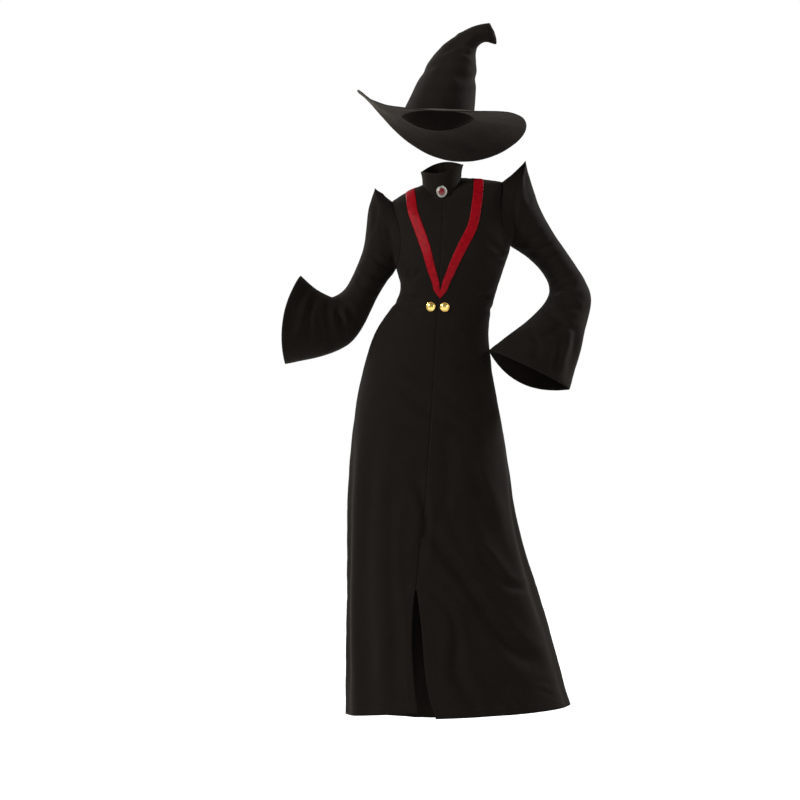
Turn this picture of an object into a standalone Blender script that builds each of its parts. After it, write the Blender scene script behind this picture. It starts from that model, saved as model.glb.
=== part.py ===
"""Witch costume in metres: a long black dress with peaked bell sleeves, and its pointed hat.

The garment keeps the pose in which it is worn. The origin is at the base of the neck, midway
between the shoulders. +Z is up, the front faces -Y and +X is at the viewer's right.
Every table below is in millimetres. A ring is one cross-section of a tube of cloth.
"""
import math
from collections import namedtuple

import bmesh
import bpy
from mathutils import Vector
from mathutils.bvhtree import BVHTree

MM = 0.001

# Cloth and seams
DRESS_CLOTH = 1.8 * MM
HAT_FELT = 2.6 * MM
RIBBON_CLOTH = 1.0 * MM
SEAM_GAP = 0.3 * MM
SHARPEST_MITRE = 2.0

# Mesh spacing
PANEL_COLUMNS = 11
ARMHOLE_STEPS = 10
HAT_COLUMNS = 28
BRIM_STEPS = 5

# Angles round the body: the front is at -90 degrees
RIGHT, BACK, LEFT = 0.0, 90.0, 180.0

# The dress, one row for each level. A ring passes through its left, right, front and back
# points; square is 2 for an ellipse and more for a flatter front.
BodyRow = namedtuple(
    "BodyRow",
    "level left_x left_z right_x right_z front_y front_left_z front_right_z back_y back_z square",
)
BODY = [
    BodyRow(0, -49, 38, 49, 56, -58, 0, 0, 52, 60, 2.0),
    BodyRow(10, -76, 26, 83, 54, -79, -18, -18, 71, 42, 2.1),
    BodyRow(20, -101, 12, 117, 50, -91, -38, -38, 85, 20, 2.2),
    BodyRow(30, -125, -3, 150, 45, -99, -56, -56, 95, 0, 2.2),
    BodyRow(115, -121, -87, 160, -35, -115, -104, -104, 107, -76, 2.3),
    BodyRow(165, -117, -140, 169, -86, -125, -142, -142, 107, -120, 2.35),
    BodyRow(200, -115, -174, 171, -115, -125, -166, -166, 103, -155, 2.35),
    BodyRow(235, -104, -208, 156, -165, -116, -200, -200, 95, -195, 2.3),
    BodyRow(262, -105, -229, 144, -205, -105, -228, -228, 86, -225, 2.2),
    BodyRow(290, -114, -253, 130, -250, -97, -255, -255, 80, -252, 2.1),
    BodyRow(315, -133, -278, 120, -285, -96, -283, -283, 83, -281, 2.1),
    BodyRow(345, -158, -311, 117, -320, -99, -315, -315, 93, -315, 2.1),
    BodyRow(385, -179, -356, 117, -360, -105, -358, -358, 109, -358, 2.15),
    BodyRow(440, -198, -421, 124, -424, -113, -422, -422, 124, -422, 2.2),
    BodyRow(510, -215, -505, 140, -505, -120, -505, -505, 135, -505, 2.2),
    BodyRow(640, -229, -638, 163, -638, -128, -638, -638, 142, -640, 2.2),
    BodyRow(800, -236, -800, 183, -800, -138, -799, -799, 152, -803, 2.2),
    BodyRow(950, -236, -950, 229, -950, -150, -947, -947, 166, -957, 2.15),
    BodyRow(1000, -237, -1000, 244, -999, -155, -995, -995, 172, -1010, 2.15),
    BodyRow(1090, -238, -1091, 271, -1086, -164, -1079, -1083, 183, -1105, 2.1),
    BodyRow(1230, -239, -1231, 306, -1212, -179, -1208, -1220, 200, -1256, 2.1),
    BodyRow(1283, -240, -1284, 321, -1260, -185, -1257, -1274, 208, -1318, 2.1),
]
NECK_LEVEL, TIP_LEVEL, ARMPIT_LEVEL, HEM_LEVEL = 0, 30, 200, 1283
SHOULDER_LEVELS = (0, 8, 15, 22)
LOWER_LEVELS = (
    217, 235, 250, 268, 290, 315, 345, 385, 440, 510, 575, 640,
    720, 800, 875, 950, 1000, 1060, 1120, 1180, 1235, 1283,
)

# The armhole opens by this many degrees of the ring to the front and to the back
ARMHOLE_FRONT, ARMHOLE_BACK = 31.0, 30.0

# The centre-front seam, and how far each front panel stands back from its line at the slit
FrontEdge = namedtuple("FrontEdge", "level seam_x left_open right_open")
FRONT_EDGES = [
    FrontEdge(0, 0, 0, 0),
    FrontEdge(115, -4, 0, 0),
    FrontEdge(290, -11, 0, 0),
    FrontEdge(510, -25, 0, 0),
    FrontEdge(800, -49, 0, 0),
    FrontEdge(950, -66, 0, 0),
    FrontEdge(1000, -66, 7, 6),
    FrontEdge(1090, -63, 13, 13),
    FrontEdge(1180, -58, 15, 14),
    FrontEdge(1235, -52, 16, 17),
    FrontEdge(1283, -40, 22, 22),
]

# The largest soft folds of the skirt: each is a trough from one angle and level to another
Fold = namedtuple("Fold", "angle level to_angle to_level depth width")
SKIRT_FOLDS = [
    Fold(-95, 840, -30, 1190, 8, 62),
    Fold(-78, 1010, -72, 1400, 7, 52),
    Fold(-118, 455, -58, 600, 5, 55),
    Fold(-150, 900, -140, 1400, 6, 60),
    Fold(-28, 640, -14, 1060, 5, 60),
    Fold(52, 620, 58, 1400, 9, 66),
    Fold(96, 760, 104, 1400, 8, 62),
    Fold(140, 660, 138, 1400, 9, 66),
    Fold(30, 430, 120, 560, 5, 58),
]
FOLD_FADE = 0.3

# The stand collar, from its top edge down to the neck seam
COLLAR = [
    BodyRow(-70, -54, 70, 54, 89, -63, 63, 63, 50, 99, 2.0),
    BodyRow(-45, -51, 60, 51, 79, -60, 43, 43, 50, 87, 2.0),
    BodyRow(-20, -49, 49, 49, 67, -58, 20, 20, 50, 74, 2.0),
]

# The sleeves, from the armhole to the hem. Each ring runs from its outer point, along the top
# of the arm, to its inner point under the arm. depth is half its size from front to back,
# pinch makes the top a fold, lead pushes the front edge towards the hand and lag the back
# edge, and wave is the height of the soft flutes at the hem.
SleeveRow = namedtuple(
    "SleeveRow", "outer_x outer_z inner_x inner_z middle_y depth pinch lead lag wave"
)
LEFT_SLEEVE = [
    SleeveRow(-147, 17, -118, -179, 0, 57, 0.35, 0, 0, 0),
    SleeveRow(-168, 31, -120, -184, 1, 60, 0.60, 0, 0, 0),
    SleeveRow(-179, 2, -123, -188, 2, 59, 0.50, 0, 0, 0),
    SleeveRow(-187, -28, -127, -192, 3, 57, 0.35, 0, 0, 0),
    SleeveRow(-190, -73, -134, -199, 4, 55, 0.20, 0, 0, 0),
    SleeveRow(-195, -118, -145, -216, 4, 53, 0.10, 0, 0, 0),
    SleeveRow(-208, -155, -158, -238, 3, 52, 0, 0, 0, 0),
    SleeveRow(-223, -188, -168, -259, 1, 52, 0, 0, 0, 0),
    SleeveRow(-237, -215, -181, -287, -2, 54, 0, 0, 0, 1),
    SleeveRow(-255, -235, -203, -329, -8, 58, 0, 2, 0, 2),
    SleeveRow(-275, -243, -227, -362, -16, 62, 0, 5, 0, 3),
    SleeveRow(-302, -231, -262, -381, -25, 67, 0, 10, -2, 4),
    SleeveRow(-327, -212, -310, -397, -35, 73, 0, 15, -4, 6),
    SleeveRow(-351, -190, -390, -412, -45, 80, 0, 22, -6, 8),
]
RIGHT_SLEEVE = [
    SleeveRow(182, 73, 173, -117, 0, 57, 0.35, 0, 0, 0),
    SleeveRow(209, 99, 175, -119, 1, 60, 0.60, 0, 0, 0),
    SleeveRow(216, 72, 178, -121, 3, 59, 0.50, 0, 0, 0),
    SleeveRow(226, 38, 184, -124, 5, 57, 0.35, 0, 0, 0),
    SleeveRow(237, 1, 193, -130, 8, 56, 0.20, 0, 0, 0),
    SleeveRow(252, -34, 205, -138, 11, 55, 0.10, 0, 0, 0),
    SleeveRow(280, -84, 223, -151, 16, 53, 0, 0, 0, 0),
    SleeveRow(315, -130, 246, -173, 20, 53, 0, 0, 0, 0),
    SleeveRow(345, -175, 265, -202, 22, 55, 0, 0, 0, 0),
    SleeveRow(370, -219, 271, -225, 20, 58, 0, 0, 0, 0),
    SleeveRow(377, -250, 262, -250, 15, 61, 0, 0, 1, 1),
    SleeveRow(368, -290, 236, -281, 6, 65, 0, 0, 4, 2),
    SleeveRow(357, -333, 199, -313, -6, 69, 0, -1, 9, 4),
    SleeveRow(346, -377, 164, -337, -18, 74, 0, -2, 16, 5),
    SleeveRow(333, -424, 136, -358, -30, 79, 0, -3, 26, 6),
    SleeveRow(317, -474, 115, -376, -42, 83, 0, -4, 38, 8),
]
SLEEVE_WAVES = 4

# The hat's cone, from its tip to the brim. Each ring runs between its left and right points.
ConeRow = namedtuple("ConeRow", "left_x left_z right_x right_z depth rise drop")
CONE_TIP = (139, -2, 386)
CONE = [
    ConeRow(134, 413, 123, 391, 8, 0, 0),
    ConeRow(120, 443, 113, 395, 19, 0, 0),
    ConeRow(96, 440, 102, 394, 24, 0, 0),
    ConeRow(64, 427, 91, 385, 28, 0, 0),
    ConeRow(40, 415, 86, 372, 34, 0, 0),
    ConeRow(19, 400, 85, 355, 41, 1, 2),
    ConeRow(-16, 371, 86, 328, 53, 2, 5),
    ConeRow(-44, 329, 86, 298, 66, 3, 9),
    ConeRow(-65, 289, 85, 268, 77, 4, 14),
    ConeRow(-84, 250, 83, 238, 88, 5, 19),
    ConeRow(-102, 212, 80, 207, 98, 6, 24),
]
HAT_MIDDLE_Y = -5

# The brim's outer edge: angle round the head, distance from its middle, and height
BrimRow = namedtuple("BrimRow", "angle reach height")
BRIM_MIDDLE_X = -8
BRIM = [
    BrimRow(0, 221, 183),
    BrimRow(18, 222, 163),
    BrimRow(36, 222, 141),
    BrimRow(54, 221, 121),
    BrimRow(75, 218, 113),
    BrimRow(96, 214, 132),
    BrimRow(118, 209, 182),
    BrimRow(134, 204, 223),
    BrimRow(150, 199, 258),
    BrimRow(168, 203, 271),
    BrimRow(187, 206, 275),
    BrimRow(206, 199, 247),
    BrimRow(225, 196, 224),
    BrimRow(246, 206, 209),
    BrimRow(270, 212, 199),
    BrimRow(294, 215, 199),
    BrimRow(316, 217, 206),
    BrimRow(332, 219, 203),
    BrimRow(346, 220, 195),
]
BRIM_CURL = 0.55

# The ribbon: guide points beside the cloth that carries it, from the tip of the V at the
# waist, up the left of the front, round the back of the neck and down to the tip again.
# Towards the tip it narrows over this many guide points.
RIBBON_WIDTH, RIBBON_TIP_WIDTH, RIBBON_TAPER = 24.5, 15.5, 4
RIBBON_STANDOFF = 1.8 * MM
RIBBON_TIP = (-6.5, -100, -251)
RIBBON_TIP_HEIGHT = 22
RIBBON_GUIDE = [
    (-15, -104, -230),
    (-17.5, -108, -208),
    (-24, -112, -187),
    (-38, -120, -144),
    (-49, -118, -112),
    (-63, -100, -71),
    (-74, -80, -33),
    (-78, -45, 4),
    (-77, 0, 26),
    (-66, 38, 40),
    (-42, 66, 46),
    (0, 74, 50),
    (45, 66, 52),
    (74, 38, 52),
    (88, 0, 53),
    (90, -45, 26),
    (84, -80, -21),
    (74, -100, -71),
    (54, -118, -112),
    (32, -120, -156),
    (19, -112, -184),
    (9, -108, -208),
    (3, -104, -229),
]
RIBBON_STEPS = 3

# Two domed buttons under the ribbon's point
BUTTON_RADIUS, BUTTON_HEIGHT, BUTTON_EDGE, BUTTON_SIDES = 11.5, 6.0, 2.0, 20
BUTTONS = {"button_left": (-29, -270), "button_right": (5, -271)}

# The brooch on the collar
BROOCH_AT = (-1.5, 16)
BROOCH_HALF_WIDTH, BROOCH_HALF_HEIGHT, BROOCH_SIDES = 13.5, 15.0, 48
BROOCH_BEADS, BROOCH_BEAD_SWELL = 24, 0.5
BROOCH_BACK, BROOCH_RIM_HEIGHT, BROOCH_RIM_WIDTH = 1.2, 3.2, 5.0
STONE_HEIGHT = 4.2

# Trimmings lie this far off a panel, found by looking at the cloth from this far out
LAID_ON = 0.35 * MM
LOOK_FROM = 50 * MM

# Colours, roughness and metallic value
BLACK_CREPE = ((0.012, 0.011, 0.010), 0.85, 0.0)
BLACK_FELT = ((0.012, 0.011, 0.010), 0.9, 0.0)
RED_SATIN = ((0.42, 0.012, 0.02), 0.35, 0.0)
GILT = ((0.80, 0.55, 0.16), 0.28, 1.0)
SILVER = ((0.70, 0.68, 0.64), 0.3, 1.0)
RED_STONE = ((0.35, 0.01, 0.02), 0.12, 0.0)


def smooth_value(rows, column, at, key="level"):
    """A column of a table read at any level, on a curve that never overshoots its rows."""
    levels = [getattr(row, key) for row in rows]
    values = [getattr(row, column) for row in rows]
    if at <= levels[0]:
        return values[0]
    if at >= levels[-1]:
        return values[-1]
    steps = [b - a for a, b in zip(levels, levels[1:])]
    slopes = [(b - a) / step for a, b, step in zip(values, values[1:], steps)]
    i = max(k for k, level in enumerate(levels[:-1]) if level <= at)
    ends = []
    for k in (i, i + 1):
        before, after = slopes[max(k - 1, 0)], slopes[min(k, len(slopes) - 1)]
        if before * after <= 0:
            ends.append(0.0)
        else:
            ends.append(2 * before * after / (before + after))
    t = (at - levels[i]) / steps[i]
    keep = (1 + 2 * t) * (1 - t) ** 2 * values[i] + t * t * (3 - 2 * t) * values[i + 1]
    turn = t * (1 - t) ** 2 * ends[0] - t * t * (1 - t) * ends[1]
    return keep + turn * steps[i]


def power(value, exponent):
    return math.copysign(abs(value) ** exponent, value)


def row_at(rows, level):
    """The ring of the table at one level, its numbers still in millimetres."""
    columns = [smooth_value(rows, name, level) for name in BodyRow._fields[1:]]
    return BodyRow(level, *columns)


def ring_point(row, angle, on_left_panel=False):
    """The point of a body ring at an angle in degrees."""
    across, deep = math.cos(math.radians(angle)), math.sin(math.radians(angle))
    side = power(across, 2 / row.square)
    out = power(deep, 2 / row.square)
    middle_x, half_x = (row.left_x + row.right_x) / 2, (row.right_x - row.left_x) / 2
    side_z = (row.left_z + row.right_z) / 2 + side * (row.right_z - row.left_z) / 2
    middle_z = (row.left_z + row.right_z) / 2
    if deep < 0:
        reach, end_z = row.front_y, row.front_left_z if on_left_panel else row.front_right_z
    else:
        reach, end_z = row.back_y, row.back_z
    return Vector(
        (
            middle_x + side * half_x,
            abs(out) * reach,
            side_z + (end_z - middle_z) * deep * deep,
        )
    ) * MM


def front_angle(row, x):
    """The angle at which the front half of a ring reaches a given x."""
    middle, half = (row.left_x + row.right_x) / 2, (row.right_x - row.left_x) / 2
    across = power((x - middle) / half, row.square / 2)
    return -math.degrees(math.acos(across))


def fold_offset(row, angle):
    """How far the skirt's folds pull the cloth in at an angle of a ring."""
    total = 0.0
    reach = (row.right_x - row.left_x + row.back_y - row.front_y) / 4
    for fold in SKIRT_FOLDS:
        along = (row.level - fold.level) / (fold.to_level - fold.level)
        if not 0 < along < 1:
            continue
        centre = fold.angle + along * (fold.to_angle - fold.angle)
        away = (angle - centre + 180) % 360 - 180
        lean = math.radians(fold.to_angle - fold.angle) * reach / (fold.to_level - fold.level)
        across = math.radians(away) * reach / math.sqrt(1 + lean * lean)
        end = min(along / FOLD_FADE, 1.0)
        if fold.to_level < HEM_LEVEL:
            end = min(end, (1 - along) / FOLD_FADE)
        total += fold.depth * math.sin(end * math.pi / 2) * math.exp(-((2 * across / fold.width) ** 2))
    return total * MM


def dress_point(row, angle, on_left_panel=False):
    """A point of the dress's outer face, with the largest folds pressed in."""
    point = ring_point(row, angle, on_left_panel)
    step = 1.0
    before = ring_point(row, angle - step, on_left_panel)
    after = ring_point(row, angle + step, on_left_panel)
    outward = (after - before).cross(Vector((0, 0, 1))).normalized()
    return point - outward * fold_offset(row, angle)


class Sheet:
    """One flat piece of cloth as a surface: its points and its four-sided and three-sided faces."""

    def __init__(self, name, lattice, thickness, closed=False, cap=None):
        self.name, self.thickness = name, thickness
        wide = len(lattice[0])
        self.points = [point.copy() for line in lattice for point in line]
        self.faces = []
        for r in range(len(lattice) - 1):
            for c in range(wide if closed else wide - 1):
                d = (c + 1) % wide
                self.faces.append(
                    (r * wide + c, (r + 1) * wide + c, (r + 1) * wide + d, r * wide + d)
                )
        if cap is not None:
            self.points.append(cap)
            tip = len(self.points) - 1
            self.faces += [(tip, c, (c + 1) % wide) for c in range(wide)]

    def corner_normals(self):
        """For each corner of each face: the point's index, the face's normal and its angle."""
        for face in self.faces:
            count = len(face)
            for k, index in enumerate(face):
                here = self.points[index]
                ahead = self.points[face[(k + 1) % count]] - here
                behind = self.points[face[k - 1]] - here
                normal = ahead.cross(behind)
                if normal.length > 1e-12:
                    yield index, normal.normalized(), ahead.angle(behind)

    def edge_loops(self):
        """Each open edge as a pair of point indices, with its cloth on the left."""
        edges = set()
        for face in self.faces:
            edges |= {(face[k - 1], face[k]) for k in range(len(face))}
        return [(a, b) for a, b in sorted(edges) if (b, a) not in edges]


def place(point):
    return tuple(round(value / (0.01 * MM)) for value in point)


def shared_normals(sheets):
    """One normal for each place of a set of sheets, so that both sides of a seam agree."""
    sums, sharpest = {}, {}
    for sheet in sheets:
        for index, normal, angle in sheet.corner_normals():
            key = place(sheet.points[index])
            sums[key] = sums.get(key, Vector()) + normal * angle
    for sheet in sheets:
        for index, normal, _ in sheet.corner_normals():
            key = place(sheet.points[index])
            cosine = max(normal.dot(sums[key].normalized()), 1 / SHARPEST_MITRE)
            sharpest.setdefault(key, []).append(cosine)
    return {
        key: (total.normalized(), len(sharpest[key]) / sum(sharpest[key]))
        for key, total in sums.items()
    }


def edge_shifts(sheet, normals):
    """How each point on an open edge moves into its own piece, to leave half the seam gap."""
    outwards = {}
    for a, b in sheet.edge_loops():
        run = (sheet.points[b] - sheet.points[a]).normalized()
        for index in (a, b):
            normal = normals[place(sheet.points[index])][0]
            outwards.setdefault(index, []).append(run.cross(normal).normalized())
    shifts = {}
    for index, sides in outwards.items():
        total = sum(sides, Vector())
        scale = max(1 + sides[0].dot(sides[-1]), 0.4)
        shifts[index] = -total / scale * (SEAM_GAP / 2)
    return shifts


def wall_mesh(sheet, normals):
    """A sheet given its thickness: outer face, inner face and rim, all in triangles."""
    mesh = bmesh.new()
    shifts = edge_shifts(sheet, normals)
    outer, inner = [], []
    for index, point in enumerate(sheet.points):
        normal, mitre = normals[place(point)]
        moved = point + shifts.get(index, Vector())
        outer.append(mesh.verts.new(moved))
        inner.append(mesh.verts.new(moved - normal * sheet.thickness * mitre))
    for face in sheet.faces:
        for corner in split(sheet, face):
            mesh.faces.new([outer[i] for i in corner])
            mesh.faces.new([inner[i] for i in reversed(corner)])
    for a, b in sheet.edge_loops():
        if place(sheet.points[a]) < place(sheet.points[b]):
            mesh.faces.new((outer[b], outer[a], inner[b]))
            mesh.faces.new((outer[a], inner[a], inner[b]))
        else:
            mesh.faces.new((outer[b], outer[a], inner[a]))
            mesh.faces.new((outer[b], inner[a], inner[b]))
    return mesh


def split(sheet, face):
    """A four-sided face as two triangles across its shorter diagonal."""
    if len(face) == 3:
        return [face]
    a, b, c, d = face
    spots = [sheet.points[i] for i in face]
    if (spots[0] - spots[2]).length <= (spots[1] - spots[3]).length:
        return [(a, b, c), (a, c, d)]
    return [(a, b, d), (b, c, d)]


def finish_material(name, finish):
    colour, roughness, metallic = finish
    material = bpy.data.materials.new(name)
    material.use_nodes = True
    shader = material.node_tree.nodes["Principled BSDF"]
    shader.inputs["Base Color"].default_value = (*colour, 1.0)
    shader.inputs["Roughness"].default_value = roughness
    shader.inputs["Metallic"].default_value = metallic
    return material


def add_object(name, mesh, finish, sharp_degrees=40.0):
    bmesh.ops.recalc_face_normals(mesh, faces=mesh.faces)
    data = bpy.data.meshes.new(name)
    mesh.to_mesh(data)
    mesh.free()
    data.materials.append(finish_material(name, finish))
    data.shade_smooth()
    data.set_sharp_from_angle(angle=math.radians(sharp_degrees))
    made = bpy.data.objects.new(name, data)
    bpy.context.scene.collection.objects.link(made)
    return made


def armhole_levels():
    """Levels from the shoulder tip to the armpit, evenly spaced round an oval."""
    drop = ARMPIT_LEVEL - TIP_LEVEL
    turns = [math.pi * k / ARMHOLE_STEPS for k in range(ARMHOLE_STEPS + 1)]
    return [TIP_LEVEL + drop * (1 - math.cos(turn)) / 2 for turn in turns]


def armhole_width(level):
    """How far the armhole is open at a level, as a share of its widest."""
    if not TIP_LEVEL < level < ARMPIT_LEVEL:
        return 0.0
    height = (level - TIP_LEVEL) / (ARMPIT_LEVEL - TIP_LEVEL)
    return math.sqrt(1 - (1 - 2 * height) ** 2)


def dress_levels():
    return [*SHOULDER_LEVELS, *armhole_levels(), *LOWER_LEVELS]


def panel(name, start, end):
    """A dress panel between two edges, each a function of the ring that gives its angle."""
    lattice = []
    for level in dress_levels():
        row = row_at(BODY, level)
        first, last = start(row), end(row)
        angles = [first + (last - first) * k / PANEL_COLUMNS for k in range(PANEL_COLUMNS + 1)]
        lattice.append([dress_point(row, angle, name == "front_left") for angle in angles])
    return Sheet(name, lattice, DRESS_CLOTH)


def dress_panels():
    def left_front(row):
        return -LEFT + ARMHOLE_FRONT * armhole_width(row.level)

    def right_front(row):
        return RIGHT - ARMHOLE_FRONT * armhole_width(row.level)

    def right_back(row):
        return RIGHT + ARMHOLE_BACK * armhole_width(row.level)

    def left_back(row):
        return LEFT - ARMHOLE_BACK * armhole_width(row.level)

    def left_edge(row):
        seam = smooth_value(FRONT_EDGES, "seam_x", row.level)
        return front_angle(row, seam - smooth_value(FRONT_EDGES, "left_open", row.level))

    def right_edge(row):
        seam = smooth_value(FRONT_EDGES, "seam_x", row.level)
        return front_angle(row, seam + smooth_value(FRONT_EDGES, "right_open", row.level))

    return [
        panel("front_left", left_front, left_edge),
        panel("front_right", right_edge, right_front),
        panel("back_right", right_back, lambda row: BACK),
        panel("back_left", lambda row: BACK, left_back),
    ]


def collar(panels):
    """The collar's lowest ring is the neck edge of the four panels, from the centre back round."""
    wide = PANEL_COLUMNS + 1
    necks = {sheet.name: sheet.points[:wide] for sheet in panels}
    order = ("back_left", "front_left", "front_right", "back_right")
    base = []
    for name in order:
        base += necks[name] if not base else necks[name][1:]
    spots = []
    for start, end in ((BACK, LEFT), (LEFT, None), (None, 360.0), (360.0, 360.0 + BACK)):
        row = row_at(BODY, NECK_LEVEL)
        seam = 360.0 + front_angle(row, FRONT_EDGES[0].seam_x)
        first, last = seam if start is None else start, seam if end is None else end
        part = [first + (last - first) * k / PANEL_COLUMNS for k in range(wide)]
        spots += part if not spots else part[1:]
    lattice = [[ring_point(row, angle) for angle in spots] for row in COLLAR]
    return Sheet("collar", [*lattice, base], DRESS_CLOTH)


def armhole_ring(front, back, front_column, back_column, front_first):
    """The armhole's edge as one ring from the shoulder tip, down one panel and up the other."""
    wide = PANEL_COLUMNS + 1
    first_row = len(SHOULDER_LEVELS)
    rows = range(first_row, first_row + ARMHOLE_STEPS + 1)
    front_edge = [front.points[r * wide + front_column] for r in rows]
    back_edge = [back.points[r * wide + back_column] for r in rows]
    if front_first:
        return front_edge + back_edge[-2:0:-1]
    return back_edge + front_edge[-2:0:-1]


def sleeve_ring(row, front_first):
    """One ring of a sleeve, starting at its outer point."""
    outer = Vector((row.outer_x, row.middle_y, row.outer_z))
    inner = Vector((row.inner_x, row.middle_y, row.inner_z))
    middle, half = (outer + inner) / 2, (outer - inner) / 2
    side = -1.0 if front_first else 1.0
    onward = half.cross(Vector((0, -side, 0))).normalized()
    count = 2 * ARMHOLE_STEPS
    ring = []
    for k in range(count):
        turn = 2 * math.pi * k / count
        deep = math.sin(turn) * abs(math.sin(turn / 2)) ** row.pinch
        flute = row.wave * math.cos(SLEEVE_WAVES * turn + math.pi / 4) * math.sin(turn) ** 2
        spot = middle + half * math.cos(turn)
        spot += Vector((0, side * (row.depth * deep + math.copysign(flute, deep)), 0))
        at_front = (math.sin(turn) > 0) == front_first
        push = row.lead if at_front else row.lag
        ring.append((spot + onward * push * math.sin(turn) ** 2) * MM)
    return ring


def sleeves(panels):
    sheet = {made.name: made for made in panels}
    left_hole = armhole_ring(sheet["front_left"], sheet["back_left"], 0, PANEL_COLUMNS, True)
    right_hole = armhole_ring(sheet["front_right"], sheet["back_right"], PANEL_COLUMNS, 0, False)
    left = [left_hole] + [sleeve_ring(row, True) for row in LEFT_SLEEVE]
    right = [right_hole] + [sleeve_ring(row, False) for row in RIGHT_SLEEVE]
    return [
        Sheet("sleeve_left", left, DRESS_CLOTH, closed=True),
        Sheet("sleeve_right", right, DRESS_CLOTH, closed=True),
    ]


def cone_ring(row):
    ring = []
    for k in range(HAT_COLUMNS):
        turn = 2 * math.pi * k / HAT_COLUMNS
        across, deep = math.cos(turn), math.sin(turn)
        x = (row.left_x + row.right_x) / 2 + across * (row.right_x - row.left_x) / 2
        z = (row.left_z + row.right_z) / 2 + across * (row.right_z - row.left_z) / 2
        z += deep * deep * (-row.drop if deep > 0 else row.rise)
        ring.append(Vector((x, HAT_MIDDLE_Y + row.depth * deep, z)) * MM)
    return ring


def brim_edge(angle):
    """The brim's outer edge at an angle, from the closed table of its rows."""
    turn = angle % 360
    before = [row._replace(angle=row.angle - 360) for row in BRIM[-3:]]
    after = [row._replace(angle=row.angle + 360) for row in BRIM[:3]]
    rows = [*before, *BRIM, *after]
    reach = smooth_value(rows, "reach", turn, "angle")
    height = smooth_value(rows, "height", turn, "angle")
    x = BRIM_MIDDLE_X + reach * math.cos(math.radians(turn))
    y = HAT_MIDDLE_Y + reach * math.sin(math.radians(turn))
    return Vector((x, y, height)) * MM


def hat_sheets():
    rings = [cone_ring(row) for row in CONE]
    cone = Sheet("hat_cone", rings, HAT_FELT, closed=True, cap=Vector(CONE_TIP) * MM)
    seam = rings[-1]
    lattice = []
    for step in range(BRIM_STEPS + 1):
        share = step / BRIM_STEPS
        line = []
        for k, base in enumerate(seam):
            edge = brim_edge(360 * k / HAT_COLUMNS)
            spot = base.lerp(edge, share)
            spot.z = base.z + (edge.z - base.z) * (share + BRIM_CURL * (share * share - share))
            line.append(spot)
        lattice.append(line)
    return [cone, Sheet("hat_brim", lattice, HAT_FELT, closed=True)]


def cloth_tree(sheets):
    """The outer faces of some sheets, to lay trimmings on."""
    points, faces = [], []
    for sheet in sheets:
        start = len(points)
        points += sheet.points
        faces += [tuple(i + start for i in part) for face in sheet.faces for part in split(sheet, face)]
    return BVHTree.FromPolygons(points, faces)


def guide_curve():
    """The ribbon's middle line: a smooth curve through its guide points."""
    guide = [Vector(spot) * MM for spot in RIBBON_GUIDE]
    line = []
    for i in range(len(guide) - 1):
        a, b = guide[max(i - 1, 0)], guide[i]
        c, d = guide[i + 1], guide[min(i + 2, len(guide) - 1)]
        for step in range(RIBBON_STEPS):
            t = step / RIBBON_STEPS
            bend = (2 * a - 5 * b + 4 * c - d) * t * t + (3 * b - a - 3 * c + d) * t ** 3
            line.append((2 * b + (c - a) * t + bend) / 2)
    return [*line, guide[-1]]


def ribbon(tree):
    """A strip laid on the cloth: each station has its two edges and its middle, low and high."""
    line = guide_curve()
    stations = []
    for i, spot in enumerate(line):
        run = line[min(i + 1, len(line) - 1)] - line[max(i - 1, 0)]
        seat, normal, _, _ = tree.find_nearest(spot)
        side = run.cross(normal).normalized()
        near_tip = min(i, len(line) - 1 - i) / (RIBBON_TAPER * RIBBON_STEPS)
        width = RIBBON_TIP_WIDTH + (RIBBON_WIDTH - RIBBON_TIP_WIDTH) * min(near_tip, 1.0)
        stations.append([seat + side * width * MM * share for share in (-0.5, 0.0, 0.5)])
    tip, rise = Vector(RIBBON_TIP) * MM, Vector((0, 0, RIBBON_TIP_HEIGHT * MM))
    shift = Vector((SEAM_GAP / 2, 0, 0))
    first = [tip - shift, tip + rise / 2 - shift, tip + rise - shift]
    last = [tip + shift, tip + rise / 2 + shift, tip + rise + shift]
    if stations[0][0].x > stations[0][2].x:
        first.reverse()
        last.reverse()
    stations = [first, *stations, last]
    mesh = bmesh.new()
    loops = []
    for station in stations:
        low, high = [], []
        for spot in station:
            seat, normal, _, _ = tree.find_nearest(spot)
            low.append(mesh.verts.new(seat + normal * RIBBON_STANDOFF))
            high.append(mesh.verts.new(seat + normal * (RIBBON_STANDOFF + RIBBON_CLOTH)))
        loops.append(low + high[::-1])
    for before, after in zip(loops, loops[1:]):
        count = len(before)
        for k in range(count):
            n = (k + 1) % count
            mesh.faces.new((before[k], before[n], after[n]))
            mesh.faces.new((before[k], after[n], after[k]))
    for loop in (loops[0], loops[-1]):
        edge_low, middle_low, far_low, far_high, middle_high, edge_high = loop
        mesh.faces.new((edge_low, middle_low, middle_high, edge_high))
        mesh.faces.new((middle_low, far_low, far_high, middle_high))
    return mesh


def seat_on(tree, x, z):
    """Where a straight look from the front meets the cloth, and the way the cloth faces."""
    spot, normal, _, _ = tree.ray_cast(Vector((x * MM, -1.0, z * MM)), Vector((0, 1, 0)))
    if normal.y > 0:
        normal = -normal
    return spot, normal


def stand_on(meshes, tree, spot, normal):
    """Turns meshes made facing +Z along the normal, and seats the first just off the cloth."""
    turn = normal.to_track_quat("Z", "Y").to_matrix().to_4x4()
    turn.translation = spot
    for mesh in meshes:
        bmesh.ops.transform(mesh, matrix=turn, verts=mesh.verts)
    highest = 0.0
    for vert in meshes[0].verts:
        hit, _, _, _ = tree.ray_cast(vert.co + normal * LOOK_FROM, -normal)
        if hit is not None:
            highest = max(highest, (hit - spot).dot(normal))
    for mesh in meshes:
        bmesh.ops.translate(mesh, vec=normal * (highest + LAID_ON), verts=mesh.verts)


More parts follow.
